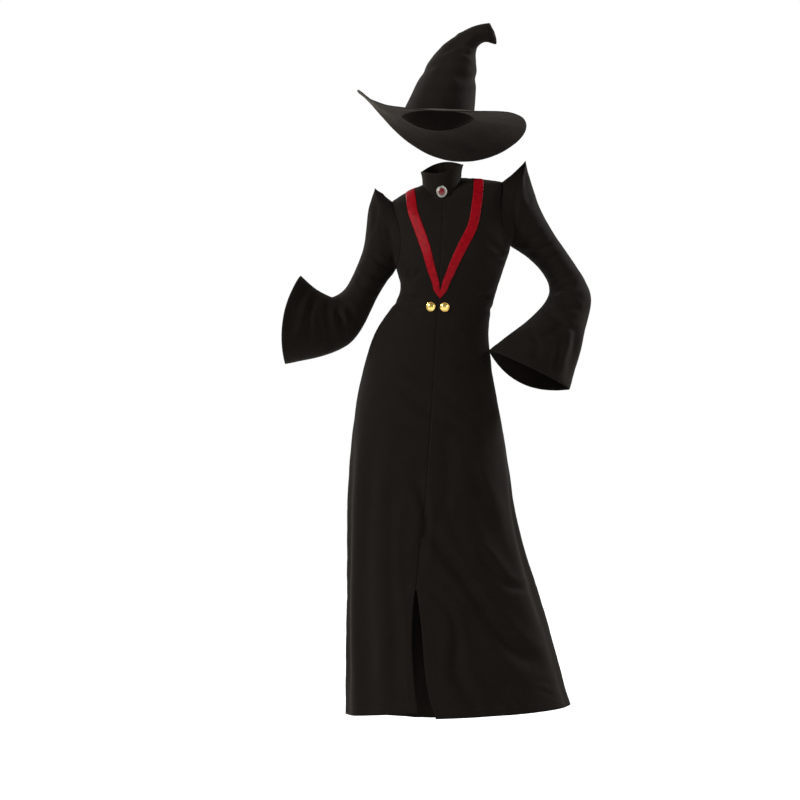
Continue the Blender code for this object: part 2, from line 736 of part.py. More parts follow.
def lathe(profile, sides, scale=(1.0, 1.0), swell=None):
    """A turned solid from a profile of radius and height, drawn from its middle outwards."""
    mesh = bmesh.new()
    rings = []
    for radius, height in profile:
        if radius == 0:
            rings.append([mesh.verts.new((0, 0, height * MM))])
            continue
        ring = []
        for k in range(sides):
            turn = 2 * math.pi * k / sides
            far = radius + (swell(radius, turn) if swell else 0)
            x, y = far * scale[0] * math.cos(turn), far * scale[1] * math.sin(turn)
            ring.append(mesh.verts.new((x * MM, y * MM, height * MM)))
        rings.append(ring)
    for inner, outer in zip(rings, rings[1:]):
        for k in range(sides):
            n = (k + 1) % sides
            if len(inner) == 1:
                mesh.faces.new((inner[0], outer[k], outer[n]))
            elif len(outer) == 1:
                mesh.faces.new((inner[k], outer[0], inner[n]))
            else:
                mesh.faces.new((inner[k], outer[k], outer[n], inner[n]))
    return mesh


def button_profile():
    """Flat back, short upright edge, then a dome."""
    dome = [math.pi / 2 * k / 4 for k in range(1, 5)]
    rise = BUTTON_HEIGHT - BUTTON_EDGE
    profile = [(0, 0), (BUTTON_RADIUS * 0.9, 0), (BUTTON_RADIUS, BUTTON_EDGE / 2)]
    profile += [(BUTTON_RADIUS, BUTTON_EDGE)]
    profile += [
        (BUTTON_RADIUS * math.cos(turn), BUTTON_EDGE + rise * math.sin(turn)) for turn in dome[:-1]
    ]
    return [*profile, (0, BUTTON_HEIGHT)]


def brooch_parts():
    """The oval setting with its beaded rim, and the stone that sits in it."""
    inside = BROOCH_HALF_WIDTH - BROOCH_RIM_WIDTH
    squash = BROOCH_HALF_HEIGHT / BROOCH_HALF_WIDTH

    def beads(radius, turn):
        if radius < BROOCH_HALF_WIDTH - 2:
            return 0.0
        return BROOCH_BEAD_SWELL * math.cos(BROOCH_BEADS * turn)

    rim = BROOCH_RIM_HEIGHT
    outside = BROOCH_HALF_WIDTH - BROOCH_BEAD_SWELL
    setting = [
        (0, 0),
        (outside - 0.6, 0),
        (outside, rim * 0.35),
        (outside - 0.4, rim * 0.8),
        (outside - 1.8, rim),
        (inside + 0.8, rim * 0.9),
        (inside, rim * 0.7),
        (inside, BROOCH_BACK),
        (0, BROOCH_BACK),
    ]
    gap = SEAM_GAP / MM
    girdle = inside - gap
    stone = [
        (0, BROOCH_BACK + gap),
        (girdle * 0.92, BROOCH_BACK + gap),
        (girdle, rim * 0.7),
        (girdle * 0.78, rim + 0.2),
        (girdle * 0.45, STONE_HEIGHT - 0.1),
        (0, STONE_HEIGHT),
    ]
    return (
        lathe(setting, BROOCH_SIDES, (1.0, squash), beads),
        lathe(stone, BROOCH_SIDES // 2, (1.0, squash)),
    )


def build():
    for old in list(bpy.data.objects):
        bpy.data.objects.remove(old, do_unlink=True)
    panels = dress_panels()
    neck = collar(panels)
    dress = [*panels, neck, *sleeves(panels)]
    normals = shared_normals(dress)
    for sheet in dress:
        add_object(sheet.name, wall_mesh(sheet, normals), BLACK_CREPE)
    hat = hat_sheets()
    normals = shared_normals(hat)
    for sheet in hat:
        add_object(sheet.name, wall_mesh(sheet, normals), BLACK_FELT)
    bodice = cloth_tree(panels)
    add_object("neck_ribbon", ribbon(bodice), RED_SATIN)
    for name, (x, z) in BUTTONS.items():
        mesh = lathe(button_profile(), BUTTON_SIDES)
        stand_on([mesh], bodice, *seat_on(bodice, x, z))
        add_object(name, mesh, GILT)
    setting, stone = brooch_parts()
    throat = cloth_tree([neck])
    stand_on([setting, stone], throat, *seat_on(throat, *BROOCH_AT))
    for name, mesh, finish in (
        ("brooch_setting", setting, SILVER),
        ("brooch_stone", stone, RED_STONE),
    ):
        add_object(name, mesh, finish)


build()
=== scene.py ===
# %% [markdown]
# # A witch costume, dressed: crepe dress, satin ribbon, gilt and silver trimmings, felt hat
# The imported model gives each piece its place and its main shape. This file turns those plain
# walls into cloth, felt and metal. Lengths in the tables are millimetres, and the frame has
# +Z up with the front of the dress facing -Y.

# %% Load the frame
import math
from collections import namedtuple

import bmesh
import bpy
import numpy as np
from mathutils import Matrix, Vector, noise
from mathutils.bvhtree import BVHTree
from mathutils.kdtree import KDTree


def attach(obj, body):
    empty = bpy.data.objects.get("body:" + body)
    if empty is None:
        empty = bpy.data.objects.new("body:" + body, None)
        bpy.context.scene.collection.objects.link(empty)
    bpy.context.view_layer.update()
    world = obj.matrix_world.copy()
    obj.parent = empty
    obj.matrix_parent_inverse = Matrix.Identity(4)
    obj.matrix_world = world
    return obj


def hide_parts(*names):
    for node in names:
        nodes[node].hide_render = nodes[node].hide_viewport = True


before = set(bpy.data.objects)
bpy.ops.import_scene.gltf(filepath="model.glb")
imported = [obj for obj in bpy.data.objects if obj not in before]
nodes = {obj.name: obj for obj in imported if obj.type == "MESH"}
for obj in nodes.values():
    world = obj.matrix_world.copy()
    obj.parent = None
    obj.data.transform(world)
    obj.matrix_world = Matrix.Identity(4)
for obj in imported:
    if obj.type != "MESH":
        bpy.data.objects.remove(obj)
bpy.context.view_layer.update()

MM = 0.001


# %% [markdown]
# ## Four helpers
# The same few steps come back all through the file: an object is put in the scene, a bmesh
# becomes a mesh, a length is measured along a line, and the nearest of many points is found.

# %% Helpers
def linked(name, data):
    """A new object in the scene."""
    made = bpy.data.objects.new(name, data)
    bpy.context.scene.collection.objects.link(made)
    return made


def mesh_of(shape, name):
    """Turns a bmesh into a mesh and frees it."""
    mesh = bpy.data.meshes.new(name)
    shape.to_mesh(mesh)
    shape.free()
    return mesh


def lengths_along(points):
    """How far along a line each of its points lies."""
    return np.concatenate([[0], np.cumsum(np.linalg.norm(np.diff(points, axis=0), axis=1))])


def search_tree(points):
    """A tree that finds the nearest of some points."""
    tree = KDTree(len(points))
    for i, point in enumerate(points):
        tree.insert(point, i)
    tree.balance()
    return tree


print("helpers ready")

# %% [markdown]
# ## The camera comes first
# The photograph was taken from well back with a long lens, at about half the height of the
# dress. Some folds below are given where that camera sees them, so its place is needed first.

# %% Camera
CAMERA_BACK = 6.5
CAMERA_AT = Vector((-0.105, -CAMERA_BACK, -0.5))
LENS, SENSOR = 117.0, 36.0

camera = linked("camera", bpy.data.cameras.new("camera"))
camera.data.lens, camera.data.sensor_width = LENS, SENSOR
camera.location = CAMERA_AT
camera.rotation_euler = (math.pi / 2, 0, 0)
bpy.context.scene.camera = camera
print("camera sees", round(SENSOR / LENS * CAMERA_BACK, 2), "m across at the dress")


# %% [markdown]
# ## A small language for materials
# Long chains of Math nodes are hard to read. This class wraps one socket, so that a sum of two
# sockets can be written as a sum, and each operator adds the Math node that it stands for.

# %% Sockets that can be added and multiplied
class Wire:
    """One output socket of a material, with arithmetic that makes Math nodes."""

    def __init__(self, tree, socket):
        self.tree, self.socket = tree, socket

    def math(self, operation, *values):
        made = self.tree.nodes.new("ShaderNodeMath")
        made.operation = operation
        for socket, value in zip(made.inputs, values):
            if isinstance(value, Wire):
                self.tree.links.new(value.socket, socket)
            else:
                socket.default_value = value
        return Wire(self.tree, made.outputs[0])

    def __add__(self, other):
        return self.math("ADD", self, other)

    def __rsub__(self, other):
        return self.math("SUBTRACT", other, self)

    def __mul__(self, other):
        return self.math("MULTIPLY", self, other)

    def __truediv__(self, other):
        return self.math("DIVIDE", self, other)

    __radd__, __rmul__ = __add__, __mul__

    def sine(self):
        return self.math("SINE", self)

    def close_to_zero(self, width):
        """1 where the value is 0, falling to 0 over a width."""
        return self.math("MINIMUM", self.math("MAXIMUM", (width - self) / width, 0.0), 1.0)


print("a wire can be added, multiplied, divided and taken from a number")


# %% [markdown]
# ## One class for every finish
# Each material here is the same shader with other values, and a few textures that vary them.
# This class makes the shader, links or fills its sockets by their names, and adds the nodes.

# %% Finishes
class Finish:
    """One material: a Principled shader, and nodes that are added by name."""

    def __init__(self, name, **constants):
        self.name = name
        self.material = bpy.data.materials.new(name)
        self.material.use_nodes = True
        self.tree = self.material.node_tree
        self.shader = self.tree.nodes["Principled BSDF"]
        self.set(**constants)

    def set(self, **values):
        """Sets or links the shader's sockets, such as sheen_weight for Sheen Weight."""
        for name, value in values.items():
            label = name.replace("_", " ").title().replace("Ior", "IOR")
            self.fill(self.shader.inputs[label], value)

    def fill(self, socket, value):
        """Links a wire to a socket, or writes a number or a colour in it."""
        if isinstance(value, Wire):
            self.tree.links.new(value.socket, socket)
        elif isinstance(value, tuple) and len(value) == 3 and socket.type == "RGBA":
            socket.default_value = (*value, 1.0)
        else:
            socket.default_value = value

    def node(self, kind, output=0, settings=None, **inputs):
        """Adds a node; an input is given by its name, or by _ and its number."""
        made = self.tree.nodes.new(kind)
        for name, value in (settings or {}).items():
            setattr(made, name, value)
        for name, value in inputs.items():
            key = int(name[1:]) if name[0] == "_" else name
            self.fill(made.inputs[key], value)
        return Wire(self.tree, made.outputs[output])

    def noise(self, size, detail=2.0, at=None):
        """Cloudy values from 0 to 1 whose lumps are about size metres across."""
        at = at or self.node("ShaderNodeTexCoord", "Object")
        return self.node("ShaderNodeTexNoise", Vector=at, Scale=1 / size, Detail=detail)

    def blend(self, share, first, second):
        """A colour between two colours."""
        kind = {"data_type": "RGBA"}
        return self.node("ShaderNodeMix", 2, kind, _0=share, _6=first, _7=second)

    def bump(self, height, depth, strength=1.0):
        """Tilts the light as if the surface rose by height times depth metres."""
        made = self.node("ShaderNodeBump", Height=height, Distance=depth, Strength=strength)
        self.set(normal=made)


print("a finish is ready to be named")

# %% [markdown]
# ## Black crepe
# Crepe is woven from over-twisted yarn, so its face is matt and finely pebbled, and its black
# is slightly warm. A plain black with a weave picture would look printed, so the threads are
# two sets of sine waves along the cloth's own UV map in metres, broken up by noise. A little
# sheen lightens the cloth where it turns away, as loose fibres do.

# %% Crepe
THREAD, SEAM_SHADE_WIDTH = 0.5 * MM, 0.6 * MM
crepe = Finish(
    "black_crepe", specular_ior_level=0.045, sheen_weight=0.03, sheen_roughness=0.4,
    sheen_tint=(0.85, 0.72, 0.58),
)
cloth_map = crepe.node("ShaderNodeUVMap", 0, {"uv_map": "cloth"})
across = crepe.node("ShaderNodeSeparateXYZ", 0, Vector=cloth_map)
along = crepe.node("ShaderNodeSeparateXYZ", 1, Vector=cloth_map)
pebble = crepe.noise(1.3 * MM, 3.0, cloth_map)
cloud = crepe.noise(45 * MM, 3.0)
slub = crepe.noise(7 * MM, 2.0)
twist = pebble * 5.0
warp = (across * (math.tau / THREAD) + twist).sine()
weft = (along * (math.tau / THREAD) + twist).sine()
from_seam = crepe.node("ShaderNodeAttribute", 2, {"attribute_name": "from_seam"})
# painted shade: within 0.6 mm of a seam the base colour is darkened by up to 45 percent, standing in
# for the shade that falls in the seam's groove
seam_shade = from_seam.close_to_zero(SEAM_SHADE_WIDTH)
weave = (warp * weft) * 0.25 + pebble
crepe.set(
    base_color=crepe.blend(
        (cloud * 0.5 + slub * 0.3 + weave * 0.15) * (1.0 - seam_shade * 0.45),
        (0.0022, 0.0016, 0.0011), (0.0088, 0.0065, 0.0048),
    ),
    roughness=0.72 + cloud * 0.12 + pebble * 0.12,
)
crepe.bump(weave * 0.12 + slub * 0.25, 0.5 * MM, 0.6)
print("crepe nodes:", len(crepe.tree.nodes))

# %% [markdown]
# ## Felt, satin and thread
# Felt has no weave: its nap is a fine random fuzz with shallow clouds where it was handled.
# Satin is the other extreme, long floating threads that all lie one way, so its bump is fine
# lines along the ribbon over a smooth, even face. Both use the same helpers as the crepe.

# %% Felt, satin and thread
felt = Finish(
    "black_felt", specular_ior_level=0.045, sheen_weight=0.045, sheen_roughness=0.45,
    sheen_tint=(0.85, 0.72, 0.58),
)
nap = felt.noise(0.8 * MM, 4.0)
handled = felt.noise(38 * MM, 3.0)
tuft = felt.noise(4 * MM, 3.0)
felt.set(
    base_color=felt.blend(
        handled * 0.6 + tuft * 0.4, (0.0034, 0.0026, 0.0020), (0.0110, 0.0084, 0.0066),
    ),
    roughness=0.78 + tuft * 0.15,
)
felt.bump(nap * 0.5 + tuft * 0.7, 0.6 * MM, 0.6)

satin = Finish("red_satin", specular_ior_level=0.045)
ribbon_map = satin.node("ShaderNodeUVMap", 0, {"uv_map": "cloth"})
satin_across = satin.node("ShaderNodeSeparateXYZ", 0, Vector=ribbon_map)
satin_along = satin.node("ShaderNodeSeparateXYZ", 1, Vector=ribbon_map)
wander = satin.noise(9 * MM, 2.0)
FLOAT_PITCH, BINDING_PITCH = 0.55 * MM, 0.45 * MM
floats = (satin_along * (math.tau / FLOAT_PITCH) + wander * 4.0).sine()
binding = (satin_across * (math.tau / BINDING_PITCH)).sine()
satin.set(
    base_color=satin.blend(
        wander * 0.7 + floats * 0.08 + 0.1, (0.050, 0.0006, 0.0016), (0.290, 0.0022, 0.0080),
    ),
    roughness=0.34 + wander * 0.14,
)
satin.bump(floats * 0.22 + binding * 0.1 + wander * 0.6, 0.25 * MM, 0.5)

thread = Finish("black_thread", roughness=0.6, specular_ior_level=0.12)
strand = thread.noise(0.4 * MM, 2.0)
thread.set(base_color=thread.blend(strand, (0.006, 0.005, 0.004), (0.016, 0.013, 0.011)))
print("felt, satin and thread ready")

# %% [markdown]
# ## Gilt, silver and the red stone
# The trimmings are small and shiny, so they catch the eye. Their brightness comes from the
# lights, and what makes them look real is roughness that varies: fingerprints and fine wear.

# %% Metals and stone
def metal(name, patch_size, dark, light, smoothest, wear):
    """A metal whose colour and roughness vary in small worn patches."""
    made = Finish(name, metallic=1.0)
    worn = made.noise(patch_size, 4.0)
    made.set(base_color=made.blend(worn, dark, light), roughness=smoothest + worn * wear)
    made.bump(worn, 0.05 * MM, 0.4)
    return made


gilt = metal("gilt_metal", 2.5 * MM, (0.78, 0.50, 0.12), (0.95, 0.70, 0.26), 0.16, 0.2)
silver = metal("silver_metal", 1.6 * MM, (0.30, 0.29, 0.27), (0.62, 0.60, 0.56), 0.18, 0.22)
stone = Finish("red_stone", coat_weight=0.5, coat_roughness=0.03, ior=1.5, specular_ior_level=0.4)
depths = stone.noise(3.0 * MM, 2.0)
stone.set(
    base_color=stone.blend(depths, (0.03, 0.001, 0.002), (0.17, 0.003, 0.008)),
    roughness=0.08 + depths * 0.06,
)
print("metals and stone ready")

# %% [markdown]
# ## From a solid wall to one face of cloth
# Each cloth solid in the frame is a wall: an outer face, an inner face and a rim. Only the
# outer face is wanted, because a Solidify modifier makes a finer wall later. A face of the
# rim is narrow and has no parallel face just behind it, and with the rim gone the two faces
# come apart. The outer one is the one that faces away from the middle of the tube.

# %% Outer faces
Wall = namedtuple("Wall", "node thickness middle up")
DRESS_WALLS = [
    Wall("front_left", 1.8, (-10, 0, 0), 0),
    Wall("front_right", 1.8, (-10, 0, 0), 0),
    Wall("back_right", 1.8, (-10, 0, 0), 0),
    Wall("back_left", 1.8, (-10, 0, 0), 0),
    Wall("collar", 1.8, (0, -5, 0), 0),
    Wall("sleeve_left", 1.8, None, 1),
    Wall("sleeve_right", 1.8, None, 1),
]
HAT_WALLS = [
    Wall("hat_cone", 2.6, None, 1),
    Wall("hat_brim", 2.6, (0, 0, -1000), 1),
]
PANELS, COLLAR, SLEEVES = (0, 1, 2, 3), 4, (5, 6)
WELD, START_BEHIND = 0.05 * MM, 0.1 * MM
BACKED_FROM, BACKED_TO, PARALLEL, RIM_WIDTH = 0.8, 1.4, -0.85, 2.15


def islands(mesh):
    """The faces of a mesh in groups that hang together."""
    left, groups = set(mesh.faces), []
    while left:
        group, todo = [], [left.pop()]
        while todo:
            face = todo.pop()
            group.append(face)
            for edge in face.edges:
                for other in edge.link_faces:
                    if other in left:
                        left.remove(other)
                        todo.append(other)
        groups.append(group)
    return sorted(groups, key=len)


def outer_face(wall):
    """A bmesh with only the outer face of one of the frame's walls."""
    thick = wall.thickness * MM
    mesh = bmesh.new()
    mesh.from_mesh(nodes[wall.node].data)
    bmesh.ops.remove_doubles(mesh, verts=mesh.verts, dist=WELD)
    tree = BVHTree.FromBMesh(mesh)
    rim = []
    for face in mesh.faces:
        start = face.calc_center_median() - face.normal * START_BEHIND
        spot, normal, _, far = tree.ray_cast(start, -face.normal)
        backed = spot is not None and BACKED_FROM * thick < far < BACKED_TO * thick
        backed = backed and normal.dot(face.normal) < PARALLEL
        if not backed and min(edge.calc_length() for edge in face.edges) < RIM_WIDTH * thick:
            rim.append(face)
    bmesh.ops.delete(mesh, geom=rim, context="FACES")
    groups = islands(mesh)
    if wall.middle is None:
        middle = sum((v.co for v in mesh.verts), Vector()) / len(mesh.verts)
    else:
        middle = Vector(wall.middle) * MM

    def outwardness(group):
        """How far a group of faces looks away from the middle."""
        total = 0.0
        for face in group:
            away = face.calc_center_median() - middle
            away.z *= wall.up
            total += face.calc_area() * face.normal.dot(away)
        return total

    keep = set(max(groups[-2:], key=outwardness))
    print(wall.node, "rim", len(rim), "groups", [len(group) for group in groups])
    bmesh.ops.delete(mesh, geom=[f for f in mesh.faces if f not in keep], context="FACES")
    return mesh


# %% [markdown]
# ## Sewing the faces together
# If each panel were smoothed by itself, its corners would round off and the seams would gape.
# So the outer faces are first sewn into one skin, with the piece's number kept as a material
# index. Pairs of triangles become quads, sharp folds and the neck seam get a crease weight,
# and Catmull-Clark smoothing then runs over the whole skin at once.

# %% Sew and smooth
SEW, SMOOTH_LEVELS = 0.9 * MM, 3
SHARP_FOLD, FULL_FOLD, SAME_PLANE = math.radians(38), math.radians(90), math.radians(70)
NECK_CREASE, ARMHOLE_CREASE, BRIM_CREASE = 0.9, 0.55, 0.75


def sewn_skin(name, walls, seam_crease):
    """One smooth mesh for a set of walls: each face's material index is its wall's number."""
    skin = bmesh.new()
    for number, wall in enumerate(walls):
        piece = outer_face(wall)
        verts = {v: skin.verts.new(v.co) for v in piece.verts}
        for face in piece.faces:
            skin.faces.new([verts[v] for v in face.verts]).material_index = number
        piece.free()
    border = [v for v in skin.verts if any(len(e.link_faces) == 1 for e in v.link_edges)]
    bmesh.ops.remove_doubles(skin, verts=border, dist=SEW)
    bmesh.ops.join_triangles(
        skin, faces=skin.faces, cmp_materials=True,
        angle_face_threshold=SAME_PLANE, angle_shape_threshold=math.pi,
    )
    weight = skin.edges.layers.float.new("crease_edge")
    for edge in skin.edges:
        if len(edge.link_faces) != 2:
            continue
        bend = edge.calc_face_angle()
        pair = {face.material_index for face in edge.link_faces}
        crease = min(bend / FULL_FOLD, 1.0) if bend > SHARP_FOLD else 0.0
        edge[weight] = max(crease, seam_crease(pair) if len(pair) == 2 else 0.0)
    quads = sum(len(face.verts) == 4 for face in skin.faces)
    print(name, "faces", len(skin.faces), "quads", quads)
    data = mesh_of(skin, name)
    for wall in walls:
        data.materials.append(None)
    rough = linked(name, data)
    smooth = rough.modifiers.new("smooth", "SUBSURF")
    smooth.levels = smooth.render_levels = SMOOTH_LEVELS
    smooth.boundary_smooth = "PRESERVE_CORNERS"
    graph = bpy.context.evaluated_depsgraph_get()
    made = bpy.data.meshes.new_from_object(rough.evaluated_get(graph))
    bpy.data.objects.remove(rough)
    return made


def dress_crease(pair):
    """How sharp a seam stays: the neck seam most, armholes less, long seams not at all."""
    if COLLAR in pair:
        return NECK_CREASE
    return ARMHOLE_CREASE if pair & set(SLEEVES) else 0.0


dress = sewn_skin("dress_skin", DRESS_WALLS, dress_crease)
hat = sewn_skin("hat_skin", HAT_WALLS, lambda pair: BRIM_CREASE)
print("dress quads", len(dress.polygons), "hat quads", len(hat.polygons))

# %% [markdown]
# ## Where the folds lie
# A dress that is filled out is pulled between the places that carry it, so its folds start at
# a point of strain, such as an armhole or the bend of a sleeve, and fade as they run on.
# Each row below is one soft trough with two unequal banks. It is drawn as its maker would see
# it from one side: across and up in millimetres, for the front as the camera sees it. No two
# have the same size, and the hidden sides get folds of the same kind.

# %% Fold tables
Fold = namedtuple("Fold", "part side half_width depth path")


def folds(part, side, rows):
    """Folds of one part as drawn from one side: half width, depth and path."""
    return [Fold(part, side, *row) for row in rows]


print("a fold has", *Fold._fields)

# %% [markdown]
# ## Folds of the bodice
# A fitted bodice is strained from the armholes towards its middle and gathered where the waist
# is taken in, so its folds are short and shallow and lie almost across.

# %% Bodice folds
BODICE_FOLDS = folds("dress", "front", [
    (9, 2.4, [(-112, -222), (-95, -215), (-72, -193), (-46, -174)]),
    (7, 1.6, [(-110, -205), (-88, -192), (-70, -165)]),
    (9, 2.2, [(168, -128), (140, -122), (112, -98)]),
    (7, 1.5, [(166, -150), (138, -150), (104, -132)]),
    (6, 1.5, [(-106, -236), (-80, -246), (-44, -243)]),
    (7, 1.8, [(-112, -262), (-82, -274), (-34, -268)]),
    (6, 1.2, [(-120, -290), (-90, -297), (-52, -296)]),
    (7, 1.7, [(146, -222), (118, -238), (76, -244)]),
    (6, 1.4, [(134, -262), (104, -280), (62, -283)]),
    (7, 1.6, [(122, -300), (92, -316), (40, -322)]),
]) + folds("dress", "back", [
    (9, 2.3, [(-104, -208), (-74, -186), (-38, -172)]),
    (9, 2.1, [(158, -140), (118, -130), (82, -104)]),
    (8, 2.0, [(-86, -236), (-30, -252), (52, -240)]),
    (7, 1.7, [(-70, -262), (4, -280), (96, -262)]),
    (6, 1.3, [(-40, -300), (24, -306), (84, -294)]),
]) + folds("dress", "left", [
    (7, 1.6, [(-62, -246), (0, -258), (58, -244)]),
]) + folds("dress", "right", [
    (7, 1.6, [(-60, -262), (4, -276), (62, -258)]),
])
print("bodice folds:", len(BODICE_FOLDS))

# %% [markdown]
# ## Folds of the skirt
# The front is pulled from one side over to the slit, so its folds sweep down and across. The
# sides and the back hang free, and theirs run nearly straight to the hem and open out there.

# %% Skirt folds
SKIRT_FOLDS = folds("dress", "front", [
    (12, 3.6, [(-125, -455), (-107, -472), (-40, -520), (55, -580), (92, -592)]),
    (9, 2.6, [(-34, -458), (-22, -467), (55, -527), (84, -540)]),
    (10, 2.2, [(-150, -392), (-118, -402), (-70, -430), (-30, -462)]),
    (12, 3.8, [(-66, -660), (-60, -707), (-40, -795), (-52, -880), (-70, -940)]),
    (17, 6.5, [(-42, -790), (-17, -850), (42, -932), (77, -982), (130, -1060),
     (192, -1130), (266, -1172)]),
    (14, 4.6, [(-44, -962), (20, -1027), (37, -1100), (37, -1182), (77, -1255), (92, -1330)]),
    (10, 3.0, [(96, -1190), (118, -1212), (167, -1255), (196, -1310)]),
    (12, 3.4, [(86, -860), (112, -906), (167, -962), (232, -975)]),
    (5, 1.6, [(226, -1205), (258, -1207), (300, -1213)]),
    (5, 1.5, [(224, -1222), (260, -1230), (300, -1252)]),
    (22, 4.2, [(-168, -520), (-186, -740), (-190, -980), (-184, -1360)]),
    (14, 2.6, [(-120, -700), (-128, -900), (-118, -1100), (-124, -1360)]),
    (18, 3.2, [(66, -640), (112, -790), (150, -880), (196, -950)]),
    (16, 2.6, [(8, -580), (16, -700), (2, -800)]),
]) + folds("dress", "back", [
    (15, 3.4, [(-128, -372), (-60, -424), (20, -446)]),
    (13, 3.0, [(112, -352), (66, -410), (2, -470)]),
    (12, 2.2, [(-150, -470), (-80, -520), (10, -548)]),
    (24, 6.0, [(-132, -560), (-150, -820), (-158, -1060), (-150, -1400)]),
    (22, 5.0, [(14, -600), (34, -860), (48, -1080), (66, -1420)]),
    (26, 6.2, [(112, -640), (164, -880), (214, -1100), (262, -1420)]),
    (15, 3.6, [(-48, -760), (-62, -980), (-58, -1180), (-74, -1420)]),
    (17, 4.2, [(84, -820), (112, -1010), (130, -1200), (158, -1420)]),
]) + folds("dress", "left", [
    (21, 4.8, [(-24, -500), (-34, -800), (-30, -1050), (-44, -1400)]),
    (18, 4.0, [(62, -600), (78, -880), (74, -1100), (90, -1400)]),
]) + folds("dress", "right", [
    (20, 4.6, [(-14, -540), (-22, -800), (-44, -1040), (-52, -1400)]),
    (18, 4.2, [(72, -580), (92, -860), (104, -1080), (124, -1400)]),
    (14, 2.8, [(30, -720), (38, -960), (46, -1180), (44, -1400)]),
])
print("skirt folds:", len(SKIRT_FOLDS))

# %% [markdown]
# ## Folds of the sleeves
# Each sleeve is bent at its middle. Short folds are pressed together inside the bend and fan
# out from it, and the wide lower part hangs from there in a few deep ones.

# %% Sleeve folds
SLEEVE_FOLDS = folds("left", "front", [
    (7, 1.8, [(-168, 10), (-166, -34), (-174, -84)]),
    (6, 1.5, [(-138, -60), (-130, -88), (-120, -140), (-126, -172)]),
    (8, 2.2, [(-122, -172), (-152, -158), (-186, -124)]),
    (8, 2.4, [(-134, -196), (-168, -192), (-204, -160)]),
    (7, 1.8, [(-156, -232), (-188, -222), (-216, -190)]),
    (9, 3.2, [(-264, -246), (-236, -272), (-208, -314)]),
    (8, 2.8, [(-270, -250), (-258, -288), (-238, -352)]),
    (8, 2.6, [(-282, -246), (-284, -296), (-272, -372)]),
    (9, 3.0, [(-262, -262), (-257, -290), (-255, -322)]),
    (10, 3.2, [(-318, -236), (-334, -287), (-338, -337), (-352, -396)]),
    (12, 2.6, [(-340, -216), (-366, -276), (-388, -346)]),
]) + folds("left", "back", [
    (9, 3.0, [(-262, -246), (-232, -276), (-206, -318)]),
    (8, 2.6, [(-272, -248), (-262, -296), (-244, -358)]),
    (8, 2.2, [(-124, -176), (-156, -162), (-190, -136)]),
    (10, 2.8, [(-312, -236), (-326, -292), (-346, -392)]),
    (7, 1.6, [(-170, 4), (-168, -40), (-178, -90)]),
]) + folds("right", "front", [
    (7, 1.8, [(208, 76), (212, 32), (222, -14)]),
    (6, 1.5, [(190, 44), (186, 6), (178, -60), (182, -104)]),
    (8, 2.2, [(182, -108), (212, -104), (252, -72)]),
    (8, 2.4, [(204, -136), (238, -128), (282, -98)]),
    (7, 2.0, [(232, -164), (262, -150), (304, -124)]),
    (9, 3.2, [(266, -238), (290, -225), (326, -212), (368, -214)]),
    (8, 2.8, [(268, -222), (302, -200), (342, -180)]),
    (9, 3.0, [(262, -250), (300, -254), (352, -276)]),
    (8, 2.4, [(250, -268), (284, -296), (340, -330)]),
    (12, 4.2, [(150, -366), (182, -355), (257, -337), (317, -310)]),
    (12, 3.0, [(300, -318), (292, -372), (274, -446)]),
    (10, 2.6, [(336, -300), (330, -366), (312, -462)]),
    (9, 2.2, [(214, -322), (236, -352), (232, -412)]),
]) + folds("right", "back", [
    (9, 3.0, [(268, -238), (306, -220), (352, -216)]),
    (8, 2.6, [(262, -254), (304, -262), (350, -290)]),
    (8, 2.2, [(186, -112), (222, -108), (262, -84)]),
    (12, 3.4, [(292, -310), (280, -372), (252, -446)]),
    (10, 2.6, [(238, -318), (220, -356), (186, -398)]),
    (7, 1.6, [(210, 66), (214, 26), (226, -22)]),
])
print("sleeve folds:", len(SLEEVE_FOLDS))

# %% [markdown]
# ## The skin as arrays of points
# The skin has far more points than anyone could place, so rules will move them all at once.
# For that numpy wants the points, their normals and the quads as arrays. The open edges of
# the skin, which are the hem, the neckline and the cuffs, are listed here as well.

# %% Point arrays of a skin
PART_NUMBERS = {"dress": PANELS, "left": SLEEVES[:1], "right": SLEEVES[1:], "hat": (0, 1)}


class Skin:
    """A smooth sewn mesh as arrays: points, normals, quads, and which pieces own each."""

    def __init__(self, mesh, count):
        self.mesh = mesh
        self.points = self.read(mesh.vertices, "co")
        self.normals = self.read(mesh.vertex_normals, "vector")
        self.quads = np.array([tuple(face.vertices) for face in mesh.polygons])
        self.owner = np.array([face.material_index for face in mesh.polygons])
        self.owned = np.zeros((len(self.points), count), bool)
        for corner in range(4):
            self.owned[self.quads[:, corner], self.owner] = True
        self.seam = np.flatnonzero(self.owned.sum(axis=1) > 1)
        self.loops = self.free_loops()
        self.free = np.concatenate([np.array(loop) for loop in self.loops])

    @staticmethod
    def read(items, name):
        flat = np.empty(len(items) * 3)
        items.foreach_get(name, flat)
        return flat.reshape(-1, 3)

    def free_loops(self):
        """The open edges as closed lists of points in order, longest first."""
        onward = {}
        heads = np.concatenate([self.quads[:, c] for c in range(4)])
        tails = np.concatenate([self.quads[:, (c + 1) % 4] for c in range(4)])
        edges = set(zip(heads.tolist(), tails.tolist()))
        for a, b in edges:
            if (b, a) not in edges:
                onward.setdefault(a, b)
        loops = []
        while onward:
            start, here = next(iter(onward.items()))
            loop = [start]
            del onward[start]
            while here in onward:
                loop.append(here)
                here = onward.pop(here)
            loops.append(loop)
        return sorted(loops, key=len, reverse=True)

    def move(self, points):
        """Puts the points at new places and reads the normals again."""
        self.points = points
        self.mesh.vertices.foreach_set("co", points.ravel())
        self.mesh.update()
        self.normals = self.read(self.mesh.vertex_normals, "vector")

    def distance_to(self, indices, reach):
        """Each point's distance to the nearest of some points, up to a reach."""
        tree = search_tree(self.points[indices])
        return np.array([min(tree.find(point)[2], reach) for point in self.points])


dress_skin = Skin(dress, len(DRESS_WALLS))
hat_skin = Skin(hat, len(HAT_WALLS))
for label, skin in (("dress", dress_skin), ("hat", hat_skin)):
    print(label, "points", len(skin.points), "open edges", [len(loop) for loop in skin.loops])

